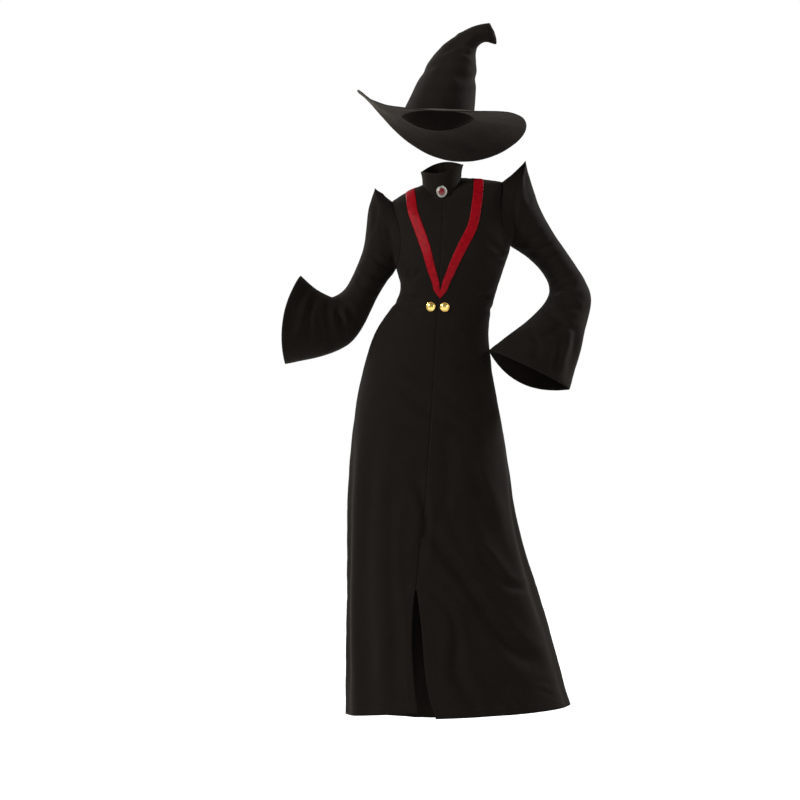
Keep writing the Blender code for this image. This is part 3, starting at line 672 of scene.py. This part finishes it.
# %% [markdown]
# ## From a drawn line to a trough
# A fold is deepest on its line, so each point is looked up on the drawing: how far it is from
# the line, and on which side, gives the trough, and how far along gives the fading ends. The
# profile is a bell curve turned down between two lower ones, and its width and depth wander
# along the line, because an even groove looks machined. The move is along the cloth's own
# normal, and only where the cloth faces the side that the fold is drawn from.

# %% Folds as moves
FACING = {"front": (0, -1, 0), "back": (0, 1, 0), "left": (-1, 0, 0), "right": (1, 0, 0)}
PATH_STEPS = 6
FADE, FULLNESS = 0.32, 1.25
Bank = namedtuple("Bank", "height place width")
BANKS = [Bank(0.46, 1.75, 0.85), Bank(0.3, -1.9, 1.0)]
UNEVEN_WIDTH, UNEVEN_DEPTH, FOLD_REACH = 0.22, 0.25, 4
FACING_START, FACING_SPAN = 0.1, 0.45


def drawn_from(side, points):
    """Points as a drawing from one side: across and up, in metres."""
    if side in ("left", "right"):
        return points[:, 1:3]
    if side == "back":
        return points[:, ::2]
    eye = np.array(CAMERA_AT)
    nearer = -eye[1] / (points[:, 1] - eye[1])
    return (eye + (points - eye) * nearer[:, None])[:, ::2]


def smooth_path(path, steps=PATH_STEPS):
    """A curve through a few points."""
    p = np.array([path[0], *path, path[-1]], float)
    line = []
    for a, b, c, d in zip(p, p[1:], p[2:], p[3:]):
        for t in np.arange(steps) / steps:
            bend = (2 * a - 5 * b + 4 * c - d) * t * t + (3 * b - a - 3 * c + d) * t ** 3
            line.append((2 * b + (c - a) * t + bend) / 2)
    return np.array([*line, p[-1]])


def nearest_run(line, spots):
    """The nearest run of a line to each spot: the run, the way there, and how far down it is."""
    runs = np.diff(line, axis=0)
    lengths = np.linalg.norm(runs, axis=1)
    away = spots[:, None, :] - line[None, :-1, :]
    share = (away * runs).sum(2) / lengths ** 2
    apart = np.linalg.norm(away - np.clip(share, 0, 1)[:, :, None] * runs, axis=2)
    best = apart.argmin(1)
    rows = np.arange(len(spots))
    begins = lengths_along(line)[best]
    return runs[best], away[rows, best], begins, share[rows, best], apart[rows, best]


def beside(line, spots):
    """Signed distance of each spot from a line, and how far along it lies from 0 to 1."""
    run, away, begins, share, apart = nearest_run(line, spots)
    cross = run[:, 0] * away[:, 1] - run[:, 1] * away[:, 0]
    far = begins + np.clip(share, 0, 1) * np.linalg.norm(run, axis=1)
    return apart * np.sign(cross), far / lengths_along(line)[-1]


def press(skin, table):
    """The move along the normal that a table of folds gives to each point of a skin."""
    total = np.zeros(len(skin.points))
    for number, fold in enumerate(table):
        line = smooth_path(fold.path) * MM
        drawn = drawn_from(fold.side, skin.points)
        facing = skin.normals @ np.array(FACING[fold.side], float)
        facing = np.clip((facing + FACING_START) / FACING_SPAN, 0, 1)
        reach = FOLD_REACH * fold.half_width * MM
        low, high = line.min(0) - reach, line.max(0) + reach
        near = (drawn > low).all(1) & (drawn < high).all(1) & (facing > 0)
        near &= skin.owned[:, list(PART_NUMBERS[fold.part])].any(1)
        picked = np.flatnonzero(near)
        far, share = beside(line, drawn[picked])
        u = far / (fold.half_width * MM * (1 + UNEVEN_WIDTH * np.sin(7 * share + number)))
        ends = np.sin(np.clip(np.minimum(share, 1 - share) / FADE, 0, 1) * math.pi / 2)
        uneven = 1 + UNEVEN_DEPTH * np.sin(9 * share + 2.1 * number)
        banks = sum(b.height * np.exp(-(((u - b.place) / b.width) ** 2)) for b in BANKS)
        depth = fold.depth * FULLNESS * MM * ends * uneven * facing[picked]
        total[picked] += depth * (banks - np.exp(-u * u))
    return total


def lumps(points, size, height):
    """A gentle unevenness, as no cloth hangs perfectly flat."""
    return np.array([noise.noise(Vector(p) / size) for p in points]) * height


print("widest fold in mm:", 2 * max(fold.half_width for fold in SKIRT_FOLDS))

# %% [markdown]
# ## What sewing does to the dress
# A seam pulls the cloth in a little and puckers it, and a hem is two layers thick, which shows
# as a faint step above the edge. Both are moves of under a millimetre, worked out from the
# distance to the nearest seam or open edge. They are added to the folds and made all at once.

# %% Seams, hems and folds of the dress
SEAM_DIP, SEAM_REACH = 0.7 * MM, 2.4 * MM
HEM_DEPTH, HEM_STEP, HEM_FADE = 22 * MM, 0.45 * MM, 3 * MM
PUCKER_SIZE, PUCKER_HEIGHT, FAR_OFF = 9 * MM, 0.5 * MM, 60 * MM
BROAD_LUMPS, FINE_LUMPS = (60 * MM, 1.3 * MM), (20 * MM, 0.35 * MM)

before = dress_skin.points.copy()
on_collar = dress_skin.owned[:, COLLAR]
collar_back = np.flatnonzero(on_collar & (np.abs(before[:, 0]) < 1.0 * MM) & (before[:, 1] > 0))
seam_points = np.union1d(dress_skin.seam, collar_back)
from_seam = dress_skin.distance_to(seam_points, FAR_OFF)
from_edge = dress_skin.distance_to(dress_skin.free, FAR_OFF)
turned_up = np.clip((HEM_DEPTH + HEM_FADE - from_edge) / HEM_FADE, 0, 1) * ~on_collar
pucker = lumps(before, PUCKER_SIZE, PUCKER_HEIGHT)
pucker *= np.exp(-((from_seam / PUCKER_SIZE) ** 2))
change = press(dress_skin, BODICE_FOLDS + SKIRT_FOLDS + SLEEVE_FOLDS)
change += lumps(before, *BROAD_LUMPS) * ~on_collar + lumps(before, *FINE_LUMPS)
change += pucker - SEAM_DIP * np.exp(-((from_seam / SEAM_REACH) ** 2)) + HEM_STEP * turned_up
dress_skin.move(before + dress_skin.normals * change[:, None])
print("largest move in mm:", round(change.max() / MM, 1), round(change.min() / MM, 1))

# %% [markdown]
# ## A map for the threads
# The weave is drawn on a map of the cloth in metres. The map unrolls a piece about the line
# that runs down its middle: one direction is the length along that line and the other is the
# girth. That keeps the threads the same size all over, as on cloth from a roll.

# %% Unrolled maps
AXES = {
    "dress": [(0, 0, 100), (0, 0, -1400)],
    "sleeve_left": [
        (-130, 0, -60), (-157, 3, -110), (-183, 3, -197), (-209, -2, -251), (-251, -16, -302),
        (-319, -35, -304), (-420, -50, -300),
    ],
    "sleeve_right": [
        (175, 0, -20), (215, 8, -65), (252, 16, -117), (305, 22, -189), (320, 15, -250),
        (278, -6, -323), (216, -42, -425), (190, -50, -480),
    ],
}
GIRTH_BINS = 40


def unroll(points, quads, axis):
    """The cloth's map: girth and length for each corner of each quad, in metres."""
    run, away, begins, share, _ = nearest_run(np.array(axis, float) * MM, points)
    length = np.linalg.norm(run, axis=1)
    down = begins + share * length
    tangents = run / length[:, None]
    out = away - tangents * (away * tangents).sum(1)[:, None]
    depth_axis = np.array([0.0, 1.0, 0.0])
    turn = np.arctan2((out * np.cross(tangents, depth_axis)).sum(1), out @ depth_axis)
    middle = math.atan2(np.sin(turn).mean(), np.cos(turn).mean())
    turn = (turn - middle + math.pi) % math.tau - math.pi
    radius = np.linalg.norm(out, axis=1)
    bins = np.clip((down - down.min()) / np.ptp(down) * GIRTH_BINS, 0, GIRTH_BINS - 1).astype(int)
    counts = np.bincount(bins, minlength=GIRTH_BINS)
    means = np.bincount(bins, radius, GIRTH_BINS) / np.maximum(counts, 1)
    centres = down.min() + (np.arange(GIRTH_BINS) + 0.5) * np.ptp(down) / GIRTH_BINS
    girth = np.interp(down, centres[means > 0], means[means > 0])
    corner = turn[quads]
    corner = corner[:, :1] + (corner - corner[:, :1] + math.pi) % math.tau - math.pi
    return np.stack([corner * girth[quads], down[quads]], axis=2)


def area_of(points, quads):
    """The area of some quads, from their diagonals."""
    a, b, c, d = (points[quads[:, k]] for k in range(4))
    return np.linalg.norm(np.cross(c - a, d - b), axis=1).sum() / 2


print("maps have", GIRTH_BINS, "bands of girth")


# %% [markdown]
# ## Cutting the skin into its pieces
# Each piece is a sheet of its own again, so that it can be named and given its map. The wall of
# the cloth comes from Solidify, behind the face that was modelled, so the outside stays where
# the folds have put it.

# %% Pieces of the dress
def add_piece(name, mesh, finish, node_names):
    """An object for a finished mesh: it rides, stands for its nodes and has its material."""
    mesh.materials.clear()
    mesh.materials.append(finish.material)
    mesh.shade_smooth()
    made = linked(name, mesh)
    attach(made, "root")
    if node_names:
        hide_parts(*node_names)
    return made


def give_thickness(made, thickness):
    """A wall behind the face that was modelled."""
    wall = made.modifiers.new("thickness", "SOLIDIFY")
    wall.thickness, wall.offset, wall.use_even_offset = thickness, -1.0, True


def cut_piece(skin, number, name, finish, thickness, seam_distance, axis=None):
    """One piece of a skin as a sheet with its map and its distance from the seams."""
    quads = skin.quads[skin.owner == number]
    used, index = np.unique(quads, return_inverse=True)
    index = index.reshape(-1, 4)
    mesh = bpy.data.meshes.new(name)
    mesh.from_pydata(skin.points[used].tolist(), [], index.tolist())
    far = mesh.attributes.new("from_seam", "FLOAT", "POINT")
    far.data.foreach_set("value", seam_distance[used])
    if axis:
        corners = unroll(skin.points[used], index, axis)
        mesh.uv_layers.new(name="cloth").data.foreach_set("uv", corners.ravel())
    made = add_piece(name, mesh, finish, [name])
    give_thickness(made, thickness)
    return made


Cut = namedtuple("Cut", "width length area held")
DRESS_THICKNESS = 1.1 * MM
CUTS = {
    "front_left": Cut(0.36, 1.37, 0.293, "hung"),
    "front_right": Cut(0.46, 1.38, 0.373, "hung"),
    "back_right": Cut(0.46, 1.42, 0.36, "hung"),
    "back_left": Cut(0.36, 1.42, 0.355, "hung"),
    "collar": Cut(0.40, 0.10, 0.0139, "stretched"),
    "sleeve_left": Cut(0.55, 0.62, 0.157, "hung"),
    "sleeve_right": Cut(0.56, 0.80, 0.211, "hung"),
}
for number, wall in enumerate(DRESS_WALLS):
    axis, cut = AXES.get(wall.node, AXES["dress"]), CUTS[wall.node]
    made = cut_piece(dress_skin, number, wall.node, crepe, DRESS_THICKNESS, from_seam, axis)
    flat_area = area_of(before, dress_skin.quads[dress_skin.owner == number])
    print(wall.node, "area", round(flat_area, 4), "stated as", cut.area)

# %% [markdown]
# ## The red ribbon
# The ribbon lies round the neckline and its two strands meet in a point low on the bodice. Its
# line is given by a few places on the cloth. At each place the strip gets a row of points across, and
# both ends are cut on the slant, so that they meet edge to edge in the point.

# %% Line of the ribbon
RIBBON_WIDTH, RIBBON_TIP_WIDTH, RIBBON_TAPER = 24.5 * MM, 15.5 * MM, 4
RIBBON_TIP, RIBBON_TIP_HEIGHT = (-6.5, -100, -251), 22
RIBBON_GUIDE = [
    (-15, -104, -230), (-17.5, -108, -208), (-24, -112, -187), (-38, -120, -144),
    (-49, -118, -112), (-63, -100, -71), (-74, -80, -33), (-78, -45, 4), (-77, 0, 26),
    (-66, 38, 40), (-42, 66, 46), (0, 74, 50),
    (45, 66, 52), (74, 38, 52), (88, 0, 53), (90, -45, 26), (84, -80, -21), (74, -100, -71),
    (54, -118, -112), (32, -120, -156), (19, -112, -184), (9, -108, -208), (3, -104, -229),
]
GUIDE_STEPS, MITRE_STEPS, RIBBON_COLUMNS = 14, 8, 13
RIBBON_THICKNESS, RIBBON_CLEAR, RIBBON_CROWN = 0.5 * MM, 0.5 * MM, 0.45 * MM
MITRE_GAP, SEAT_ROUNDS, FACING_ROUNDS, SATIN_ROUNDS = 0.3 * MM, 4, 30, 6


def cloth_tree(skin, numbers):
    """A search tree of some of a skin's pieces."""
    quads = skin.quads[np.isin(skin.owner, numbers)]
    return BVHTree.FromPolygons(skin.points.tolist(), quads.tolist())


def smoothed(values, rounds):
    """Rows of values, each drawn towards its neighbours, with the first and last held."""
    for _ in range(rounds):
        values[1:-1] = (values[:-2] + 2 * values[1:-1] + values[2:]) / 4
    return values


def unit(vectors):
    """Vectors of length 1."""
    return vectors / np.linalg.norm(vectors, axis=-1, keepdims=True)


def ribbon_rows(tree):
    """Rows of points across the ribbon, from one side of the mitred point to the other."""
    line = smooth_path(RIBBON_GUIDE, GUIDE_STEPS) * MM
    found = [tree.find_nearest(Vector(spot)) for spot in line]
    seats = smoothed(np.array([hit[0] for hit in found]), SEAT_ROUNDS)
    facing = unit(smoothed(np.array([hit[1] for hit in found]), FACING_ROUNDS))
    sides = unit(np.cross(np.gradient(seats, axis=0), facing))
    count = len(line) - 1
    near_tip = np.minimum(np.arange(count + 1), count - np.arange(count + 1))
    taper = np.minimum(near_tip / (RIBBON_TAPER * GUIDE_STEPS), 1)
    widths = RIBBON_TIP_WIDTH + (RIBBON_WIDTH - RIBBON_TIP_WIDTH) * taper
    shares = np.linspace(-0.5, 0.5, RIBBON_COLUMNS)
    rows = seats[:, None] + sides[:, None] * (widths[:, None] * shares)[:, :, None]
    up = np.linspace(0, RIBBON_TIP_HEIGHT, RIBBON_COLUMNS)[:, None] * (0, 0, 1)
    mitre = (np.array(RIBBON_TIP, float) + up) * MM
    if rows[0, 0, 0] > rows[0, -1, 0]:
        mitre = mitre[::-1]
    shift = np.array([MITRE_GAP / 2, 0, 0])
    blend = np.linspace(0, 1, MITRE_STEPS + 1)[:-1, None, None]
    first = (mitre - shift) * (1 - blend) + rows[0] * blend
    last = (mitre + shift) * (1 - blend) + rows[-1] * blend
    return np.concatenate([first, rows, last[::-1]]), widths.mean()


bodice = cloth_tree(dress_skin, PANELS)
ribbon_grid, mean_width = ribbon_rows(bodice)
print("ribbon grid", ribbon_grid.shape, "mean width", round(mean_width, 4))


# %% [markdown]
# ## Laying the satin down
# Points near a fold would dip into it, and a firm ribbon bridges it instead. So the rows are
# laid on the cloth, drawn towards each other, and lifted again only where they would sink in.
# The strip is a little higher along its middle, which gives the satin its soft gleam.

# %% Ribbon on the cloth
def laid_on(tree, grid, lift):
    """A grid of points set on the cloth, smoothed, and lifted clear of it again."""
    rows, columns, _ = grid.shape
    for first in (True, False):
        for i in range(rows):
            for j in range(columns):
                seat, normal, _, _ = tree.find_nearest(Vector(grid[i, j]))
                if first or (Vector(grid[i, j]) - seat).dot(normal) < lift[j]:
                    grid[i, j] = seat + normal * lift[j]
        if first:
            grid = smoothed(grid, SATIN_ROUNDS)
    return grid


shares = np.linspace(-1, 1, RIBBON_COLUMNS)
lift = RIBBON_THICKNESS + RIBBON_CLEAR + RIBBON_CROWN * (1 - shares ** 2)
ribbon_grid = laid_on(bodice, ribbon_grid, lift)
rows, columns, _ = ribbon_grid.shape
corner = np.arange(rows * columns).reshape(rows, columns)
ribbon_quads = np.stack(
    [corner[:-1, :-1], corner[1:, :-1], corner[1:, 1:], corner[:-1, 1:]], axis=2
).reshape(-1, 4)
ribbon_points = ribbon_grid.reshape(-1, 3)
ribbon_mesh = bpy.data.meshes.new("neck_ribbon")
ribbon_mesh.from_pydata(ribbon_points.tolist(), [], ribbon_quads.tolist())
down = lengths_along(ribbon_grid[:, columns // 2])
corners = np.stack(np.broadcast_arrays(shares * mean_width / 2, down[:, None]), axis=2)
ribbon_map = corners.reshape(-1, 2)[ribbon_quads]
ribbon_mesh.uv_layers.new(name="cloth").data.foreach_set("uv", ribbon_map.ravel())
sample = ribbon_mesh.polygons[len(ribbon_quads) // 8]
if sample.normal.dot(bodice.find_nearest(sample.center)[1]) < 0:
    ribbon_mesh.flip_normals()
ribbon = add_piece("neck_ribbon", ribbon_mesh, satin, ["neck_ribbon"])
give_thickness(ribbon, RIBBON_THICKNESS)
round(area_of(ribbon_points, ribbon_quads), 4)

# %% [markdown]
# ## Buttons and brooch
# The two buttons are turned: a rim, a groove and a dome. The brooch is an oval plate with a
# ring of beads, a finer ring inside it and a smooth domed stone. Spin turns each profile into
# a round shape, and a scale along one axis makes the oval.

# %% Turned and beaded shapes
BUTTON_PROFILE = [
    (0, 0), (10.0, 0), (11.1, 0.5), (11.5, 1.4), (11.2, 2.3), (10.5, 2.7), (10.0, 2.3),
    (9.6, 2.3), (9.0, 3.0), (7.4, 4.4), (5.2, 5.3), (2.7, 5.85), (0, 6.0),
]
BUTTONS = {"button_left": (-29, -270), "button_right": (5, -271)}
BROOCH_AT, BROOCH_SQUASH = (-1.5, 16), 15.0 / 13.5
PLATE_PROFILE = [
    (0, 0), (11.8, 0), (12.6, 0.5), (12.8, 1.1), (12.2, 1.5), (9.4, 1.5), (9.0, 1.4), (0, 1.3),
]
BEZEL_PROFILE = [(8.9, 1.3), (9.3, 2.2), (9.1, 3.2), (8.7, 3.5), (8.4, 3.2), (8.35, 1.3)]
STONE_PROFILE = [
    (0, 1.6), (7.4, 1.6), (8.0, 1.9), (8.1, 2.4), (7.5, 3.1), (6.3, 3.7), (4.5, 4.15),
    (2.3, 4.45), (0, 4.55),
]
Beads = namedtuple("Beads", "radius height count size segments")
BEAD_RINGS = [Beads(11.9, 2.3, 30, 1.28, 16), Beads(9.95, 1.9, 56, 0.58, 10)]
ROUND_STEPS, OVAL_STEPS, SPUN_WELD = 72, 96, 0.02 * MM


def spun(profile, steps, squash=1.0):
    """A turned shape from a profile of radius and height in millimetres, middle first."""
    shape = bmesh.new()
    verts = [shape.verts.new((max(r, 0) * MM, 0, h * MM)) for r, h in smooth_path(profile, 4)]
    edges = [shape.edges.new(pair) for pair in zip(verts, verts[1:])]
    bmesh.ops.spin(
        shape, geom=verts + edges, axis=(0, 0, 1), cent=(0, 0, 0), angle=math.tau, steps=steps,
        use_merge=True,
    )
    bmesh.ops.remove_doubles(shape, verts=shape.verts, dist=SPUN_WELD)
    bmesh.ops.recalc_face_normals(shape, faces=shape.faces)
    bmesh.ops.scale(shape, vec=(1, squash, 1), verts=shape.verts)
    return shape


def add_beads(shape, ring, squash):
    """Round beads evenly spaced on an oval."""
    turns = np.linspace(0, math.tau, 721)
    oval = np.stack([np.cos(turns), np.sin(turns) * squash], axis=1) * ring.radius * MM
    far = lengths_along(oval)
    for at in np.arange(ring.count) / ring.count * far[-1]:
        x, y = (np.interp(at, far, oval[:, k]) for k in (0, 1))
        bmesh.ops.create_uvsphere(
            shape, u_segments=ring.segments, v_segments=ring.segments // 2 + 1,
            radius=ring.size * MM, matrix=Matrix.Translation((x, y, ring.height * MM)),
        )


print("beads on the brooch:", sum(ring.count for ring in BEAD_RINGS))

# %% [markdown]
# ## Seating the trimmings
# The shapes are drawn facing up. Each is turned to face the way the cloth faces at its place,
# and moved out until its back is just clear of the highest spot of the cloth below it.

# %% Trimmings on the cloth
SEAT_GAP, BUTTON_RADIUS, BROOCH_RADIUS = 0.25 * MM, 11.5, 13.5


def stand(shapes, tree, place, radius):
    """Turns shapes that face +Z to the cloth's own facing at a place, and seats them on it."""
    ahead = Vector((0, 1, 0))
    middle = Vector((place[0] * MM, -1, place[1] * MM))
    turns = [k * math.tau / 12 for k in range(12)]
    around = [
        Vector((math.cos(turn), 0, math.sin(turn))) * radius * MM * share
        for share in (0.5, 0.9) for turn in turns
    ]
    spot = tree.ray_cast(middle, ahead)[0]
    hits = [tree.ray_cast(middle + offset, ahead) for offset in around]
    facing = sum((hit[1] for hit in hits if hit[0] is not None), Vector()).normalized()
    if facing.y > 0:
        facing = -facing
    seat = facing.to_track_quat("Z", "Y").to_matrix().to_4x4()
    rise = max(((hit[0] - spot).dot(facing) for hit in hits if hit[0] is not None), default=0)
    seat.translation = spot + facing * (max(rise, 0) + SEAT_GAP)
    for shape in shapes:
        bmesh.ops.transform(shape, matrix=seat, verts=shape.verts)


def finish_shape(shape, name, finish):
    """Turns a finished bmesh into the piece that stands for its node."""
    mesh = mesh_of(shape, name)
    add_piece(name, mesh, finish, [name])
    print(name, "faces", len(mesh.polygons))


for name, place in BUTTONS.items():
    button = spun(BUTTON_PROFILE, ROUND_STEPS)
    stand([button], bodice, place, BUTTON_RADIUS)
    finish_shape(button, name, gilt)

throat = cloth_tree(dress_skin, (*PANELS[:2], COLLAR))
setting, bezel, cabochon = (
    spun(profile, OVAL_STEPS, BROOCH_SQUASH)
    for profile in (PLATE_PROFILE, BEZEL_PROFILE, STONE_PROFILE)
)
setting.from_mesh(mesh_of(bezel, "bezel"))
for ring in BEAD_RINGS:
    add_beads(setting, ring, BROOCH_SQUASH)
stand([setting, cabochon], throat, BROOCH_AT, BROOCH_RADIUS)
finish_shape(setting, "brooch_setting", silver)
finish_shape(cabochon, "brooch_stone", stone)

# %% [markdown]
# ## The felt hat
# The hat is two pieces of black felt: a tall cone that is bent over near its top, and a wide
# brim that is curled up on one side. The bend gives it its dents and creases, and the felt
# swells softly between them. A groove marks the row where the two pieces are sewn together.

# %% Hat
HAT_FOLDS = folds("hat", "front", [
    (7, 3.0, [(92, 376), (72, 388), (48, 402), (22, 408)]),
    (8, 2.4, [(88, 360), (62, 368), (34, 382)]),
    (8, 2.6, [(-14, 366), (12, 376), (40, 392), (66, 412)]),
    (9, 1.7, [(-40, 328), (-12, 338), (26, 350)]),
    (11, 1.9, [(88, 300), (58, 304), (24, 322)]),
    (12, 1.4, [(-66, 266), (-22, 272), (30, 264)]),
    (6, 1.8, [(122, 436), (116, 418), (122, 396)]),
]) + folds("hat", "back", [
    (8, 2.8, [(90, 372), (66, 384), (40, 392)]),
    (9, 2.4, [(-16, 362), (12, 370), (44, 366)]),
    (11, 1.9, [(80, 318), (50, 330), (12, 322)]),
    (12, 1.5, [(-54, 284), (-12, 296), (36, 288)]),
]) + folds("hat", "right", [
    (10, 1.8, [(-52, 292), (-10, 302), (34, 296)]),
]) + folds("hat", "left", [
    (10, 1.8, [(-48, 308), (-6, 318), (36, 306)]),
])
FELT_THICKNESS, HAT_DIP, HAT_REACH = 2.2 * MM, 0.9 * MM, 2.6 * MM
BROAD_DENTS, FINE_DENTS = (48 * MM, 1.5 * MM), (17 * MM, 0.35 * MM)
HAT_CUTS = {
    "hat_cone": Cut(0.62, 0.34, None, "stretched"),
    "hat_brim": Cut(0.46, 0.46, None, "stretched"),
}
hat_before = hat_skin.points.copy()
hat_seam = hat_skin.distance_to(hat_skin.seam, FAR_OFF)
change = press(hat_skin, HAT_FOLDS)
change += lumps(hat_before, *BROAD_DENTS) + lumps(hat_before, *FINE_DENTS)
change -= HAT_DIP * np.exp(-((hat_seam / HAT_REACH) ** 2))
hat_skin.move(hat_before + hat_skin.normals * change[:, None])
for number, wall in enumerate(HAT_WALLS):
    made = cut_piece(hat_skin, number, wall.node, felt, FELT_THICKNESS, hat_seam)
    flat_area = round(area_of(hat_before, hat_skin.quads[hat_skin.owner == number]), 3)
    cut = HAT_CUTS[wall.node]
    print(wall.node, "area", flat_area, "of", round(cut.width * cut.length, 4))

# %% [markdown]
# ## Rows of stitching
# A hem is turned up and sewn, and the row shows as a line of short raised threads. Each row
# follows an open edge at a fixed distance, laid on the cloth like the ribbon. One stitch is a
# small five-sided bar, thick in its middle and dipping in at both ends, copied along the row.

# %% Stitches
STITCH_PITCH, STITCH_SHARE = 3.4 * MM, 0.68
STITCH_RADIUS, STITCH_LIFT, STITCH_SIDES = 0.24 * MM, 0.12 * MM, 5
TOO_NEAR, TOO_LONG = 0.8, 2
BAR = [(0, 0.5, -0.6), (0.5, 1.0, 1.0), (1, 0.5, -0.6)]
Row = namedtuple("Row", "name skin loop inset under numbers slot_name")


def even_points(path, step):
    """A closed path as points a step apart."""
    closed = np.concatenate([path, path[:1]])
    far = lengths_along(closed)
    at = np.linspace(0, far[-1], int(far[-1] / step) + 1)[:-1]
    return np.stack([np.interp(at, far, closed[:, k]) for k in range(3)], axis=1)


def stitch_row(row):
    """The piece for one row of stitches at an inset from an open edge."""
    skin, loop = row.skin, np.array(row.skin.loops[row.loop])
    edge = skin.points[loop]
    runs = unit(np.roll(edge, -1, axis=0) - np.roll(edge, 1, axis=0))
    inward = unit(np.cross(skin.normals[loop], runs))
    path = even_points(edge + inward * row.inset, STITCH_PITCH)
    tree = cloth_tree(skin, row.numbers)
    near_edge = search_tree(skin.points[skin.free])
    turns = np.arange(STITCH_SIDES) * math.tau / STITCH_SIDES
    verts, faces = [], []
    for start, onward in zip(path, np.roll(path, -1, axis=0)):
        seat, normal, _, _ = tree.find_nearest(Vector(start))
        end = tree.find_nearest(Vector(onward))[0]
        crowded = near_edge.find(seat)[2] < TOO_NEAR * row.inset
        if crowded or (end - seat).length > TOO_LONG * STITCH_PITCH:
            continue
        if row.under:
            normal = -normal
            seat, end = seat + normal * row.under, end + normal * row.under
        along = (end - seat) * STITCH_SHARE
        side = along.cross(normal).normalized()
        first = len(verts)
        for share, thick, high in BAR:
            middle = seat + along * share + normal * STITCH_LIFT * high
            for turn in turns:
                out = side * math.cos(turn) + normal * math.sin(turn)
                verts.append(middle + out * STITCH_RADIUS * thick)
        for ring in (0, STITCH_SIDES):
            for k in range(STITCH_SIDES):
                n = (k + 1) % STITCH_SIDES
                low, high = first + ring, first + ring + STITCH_SIDES
                faces.append((low + k, low + n, high + n, high + k))
        faces.append(tuple(first + k for k in range(STITCH_SIDES)))
        faces.append(tuple(first + 2 * STITCH_SIDES + k for k in reversed(range(STITCH_SIDES))))
    mesh = bpy.data.meshes.new(row.name)
    mesh.from_pydata([tuple(v) for v in verts], [], faces)
    add_piece(row.name, mesh, thread, [])
    print(row.name, "stitches", len(verts) // (3 * STITCH_SIDES))


ROWS = [
    Row("hem_stitches", dress_skin, 0, 20 * MM, 0, PANELS, "black_crepe"),
    Row("collar_stitches", dress_skin, 1, 4 * MM, 0, (COLLAR,), "black_crepe"),
    Row("cuff_stitches_a", dress_skin, 2, 20 * MM, 0, SLEEVES, "black_crepe"),
    Row("cuff_stitches_b", dress_skin, 3, 20 * MM, 0, SLEEVES, "black_crepe"),
    Row("brim_stitches_outer", hat_skin, 0, 5 * MM, 0, (1,), "black_felt"),
    Row("brim_stitches_inner", hat_skin, 0, 9 * MM, 0, (1,), "black_felt"),
    Row("brim_stitches_outer_under", hat_skin, 0, 5 * MM, FELT_THICKNESS, (1,), "black_felt"),
    Row("brim_stitches_inner_under", hat_skin, 0, 9 * MM, FELT_THICKNESS, (1,), "black_felt"),
]
for row in ROWS:
    stitch_row(row)

# %% [markdown]
# ## Floor and surroundings
# The floor is pale and plain, and so is the world behind it. The world looks white to the
# camera and lights the cloth much less, because black cloth in a bright room turns grey.

# %% Floor and world
FLOOR_LEVEL, FLOOR_REACH, SOFT_LIGHT = -1.44, 30, 0.26
floor_shape = bmesh.new()
bmesh.ops.create_grid(floor_shape, x_segments=2, y_segments=2, size=FLOOR_REACH)
bmesh.ops.translate(floor_shape, vec=(0, 0, FLOOR_LEVEL), verts=floor_shape.verts)
floor = linked("floor", mesh_of(floor_shape, "floor"))
floor_finish = Finish("floor_pale", base_color=(0.35, 0.35, 0.35), roughness=0.95)
floor_finish.set(emission_color=(1.0, 1.0, 1.0), emission_strength=0.9)
floor.data.materials.append(floor_finish.material)

world = bpy.data.worlds.new("pale_world")
world.use_nodes = True
sky = world.node_tree.nodes
soft, plain = sky["Background"], sky.new("ShaderNodeBackground")
seen, either = sky.new("ShaderNodeLightPath"), sky.new("ShaderNodeMixShader")
for background, strength in ((soft, SOFT_LIGHT), (plain, 1.0)):
    background.inputs["Color"].default_value = (1, 1, 1, 1)
    background.inputs["Strength"].default_value = strength
for start, end in (
    (seen.outputs["Is Camera Ray"], either.inputs[0]), (soft.outputs[0], either.inputs[1]),
    (plain.outputs[0], either.inputs[2]), (either.outputs[0], sky["World Output"].inputs[0]),
):
    world.node_tree.links.new(start, end)
bpy.context.scene.world = world
bpy.context.scene.view_settings.view_transform = "Standard"
print("floor at", FLOOR_LEVEL, "m, soft light", SOFT_LIGHT)

# %% [markdown]
# ## Four lamps
# Black cloth shows its form by soft highlights, so the lamps are large and stand to the sides.
# One is strong and gives the folds their light side, one is weak and opens the shadows, and
# two from behind draw a thin bright edge that parts the dress from its surroundings.

# %% Lamps
Lamp = namedtuple("Lamp", "name at aim size power")
LAMPS = [
    Lamp("key", (-4.3, -2.2, 2.5), (0, 0, -0.5), 1.5, 420),
    Lamp("fill", (3.9, -3.0, 0.8), (0, 0, -0.5), 2.6, 80),
    Lamp("back_left", (-3.0, 2.9, 2.0), (0, 0, -0.4), 2.0, 120),
    Lamp("back_right", (4.1, 2.2, 2.2), (0, 0, -0.4), 1.5, 330),
]
for lamp in LAMPS:
    data = bpy.data.lights.new(lamp.name, "AREA")
    data.shape, data.size, data.energy = "DISK", lamp.size, lamp.power
    light = linked(lamp.name, data)
    light.location = lamp.at
    light.rotation_euler = (Vector(lamp.aim) - Vector(lamp.at)).to_track_quat("-Z", "Y").to_euler()
print("lamps:", len(LAMPS))
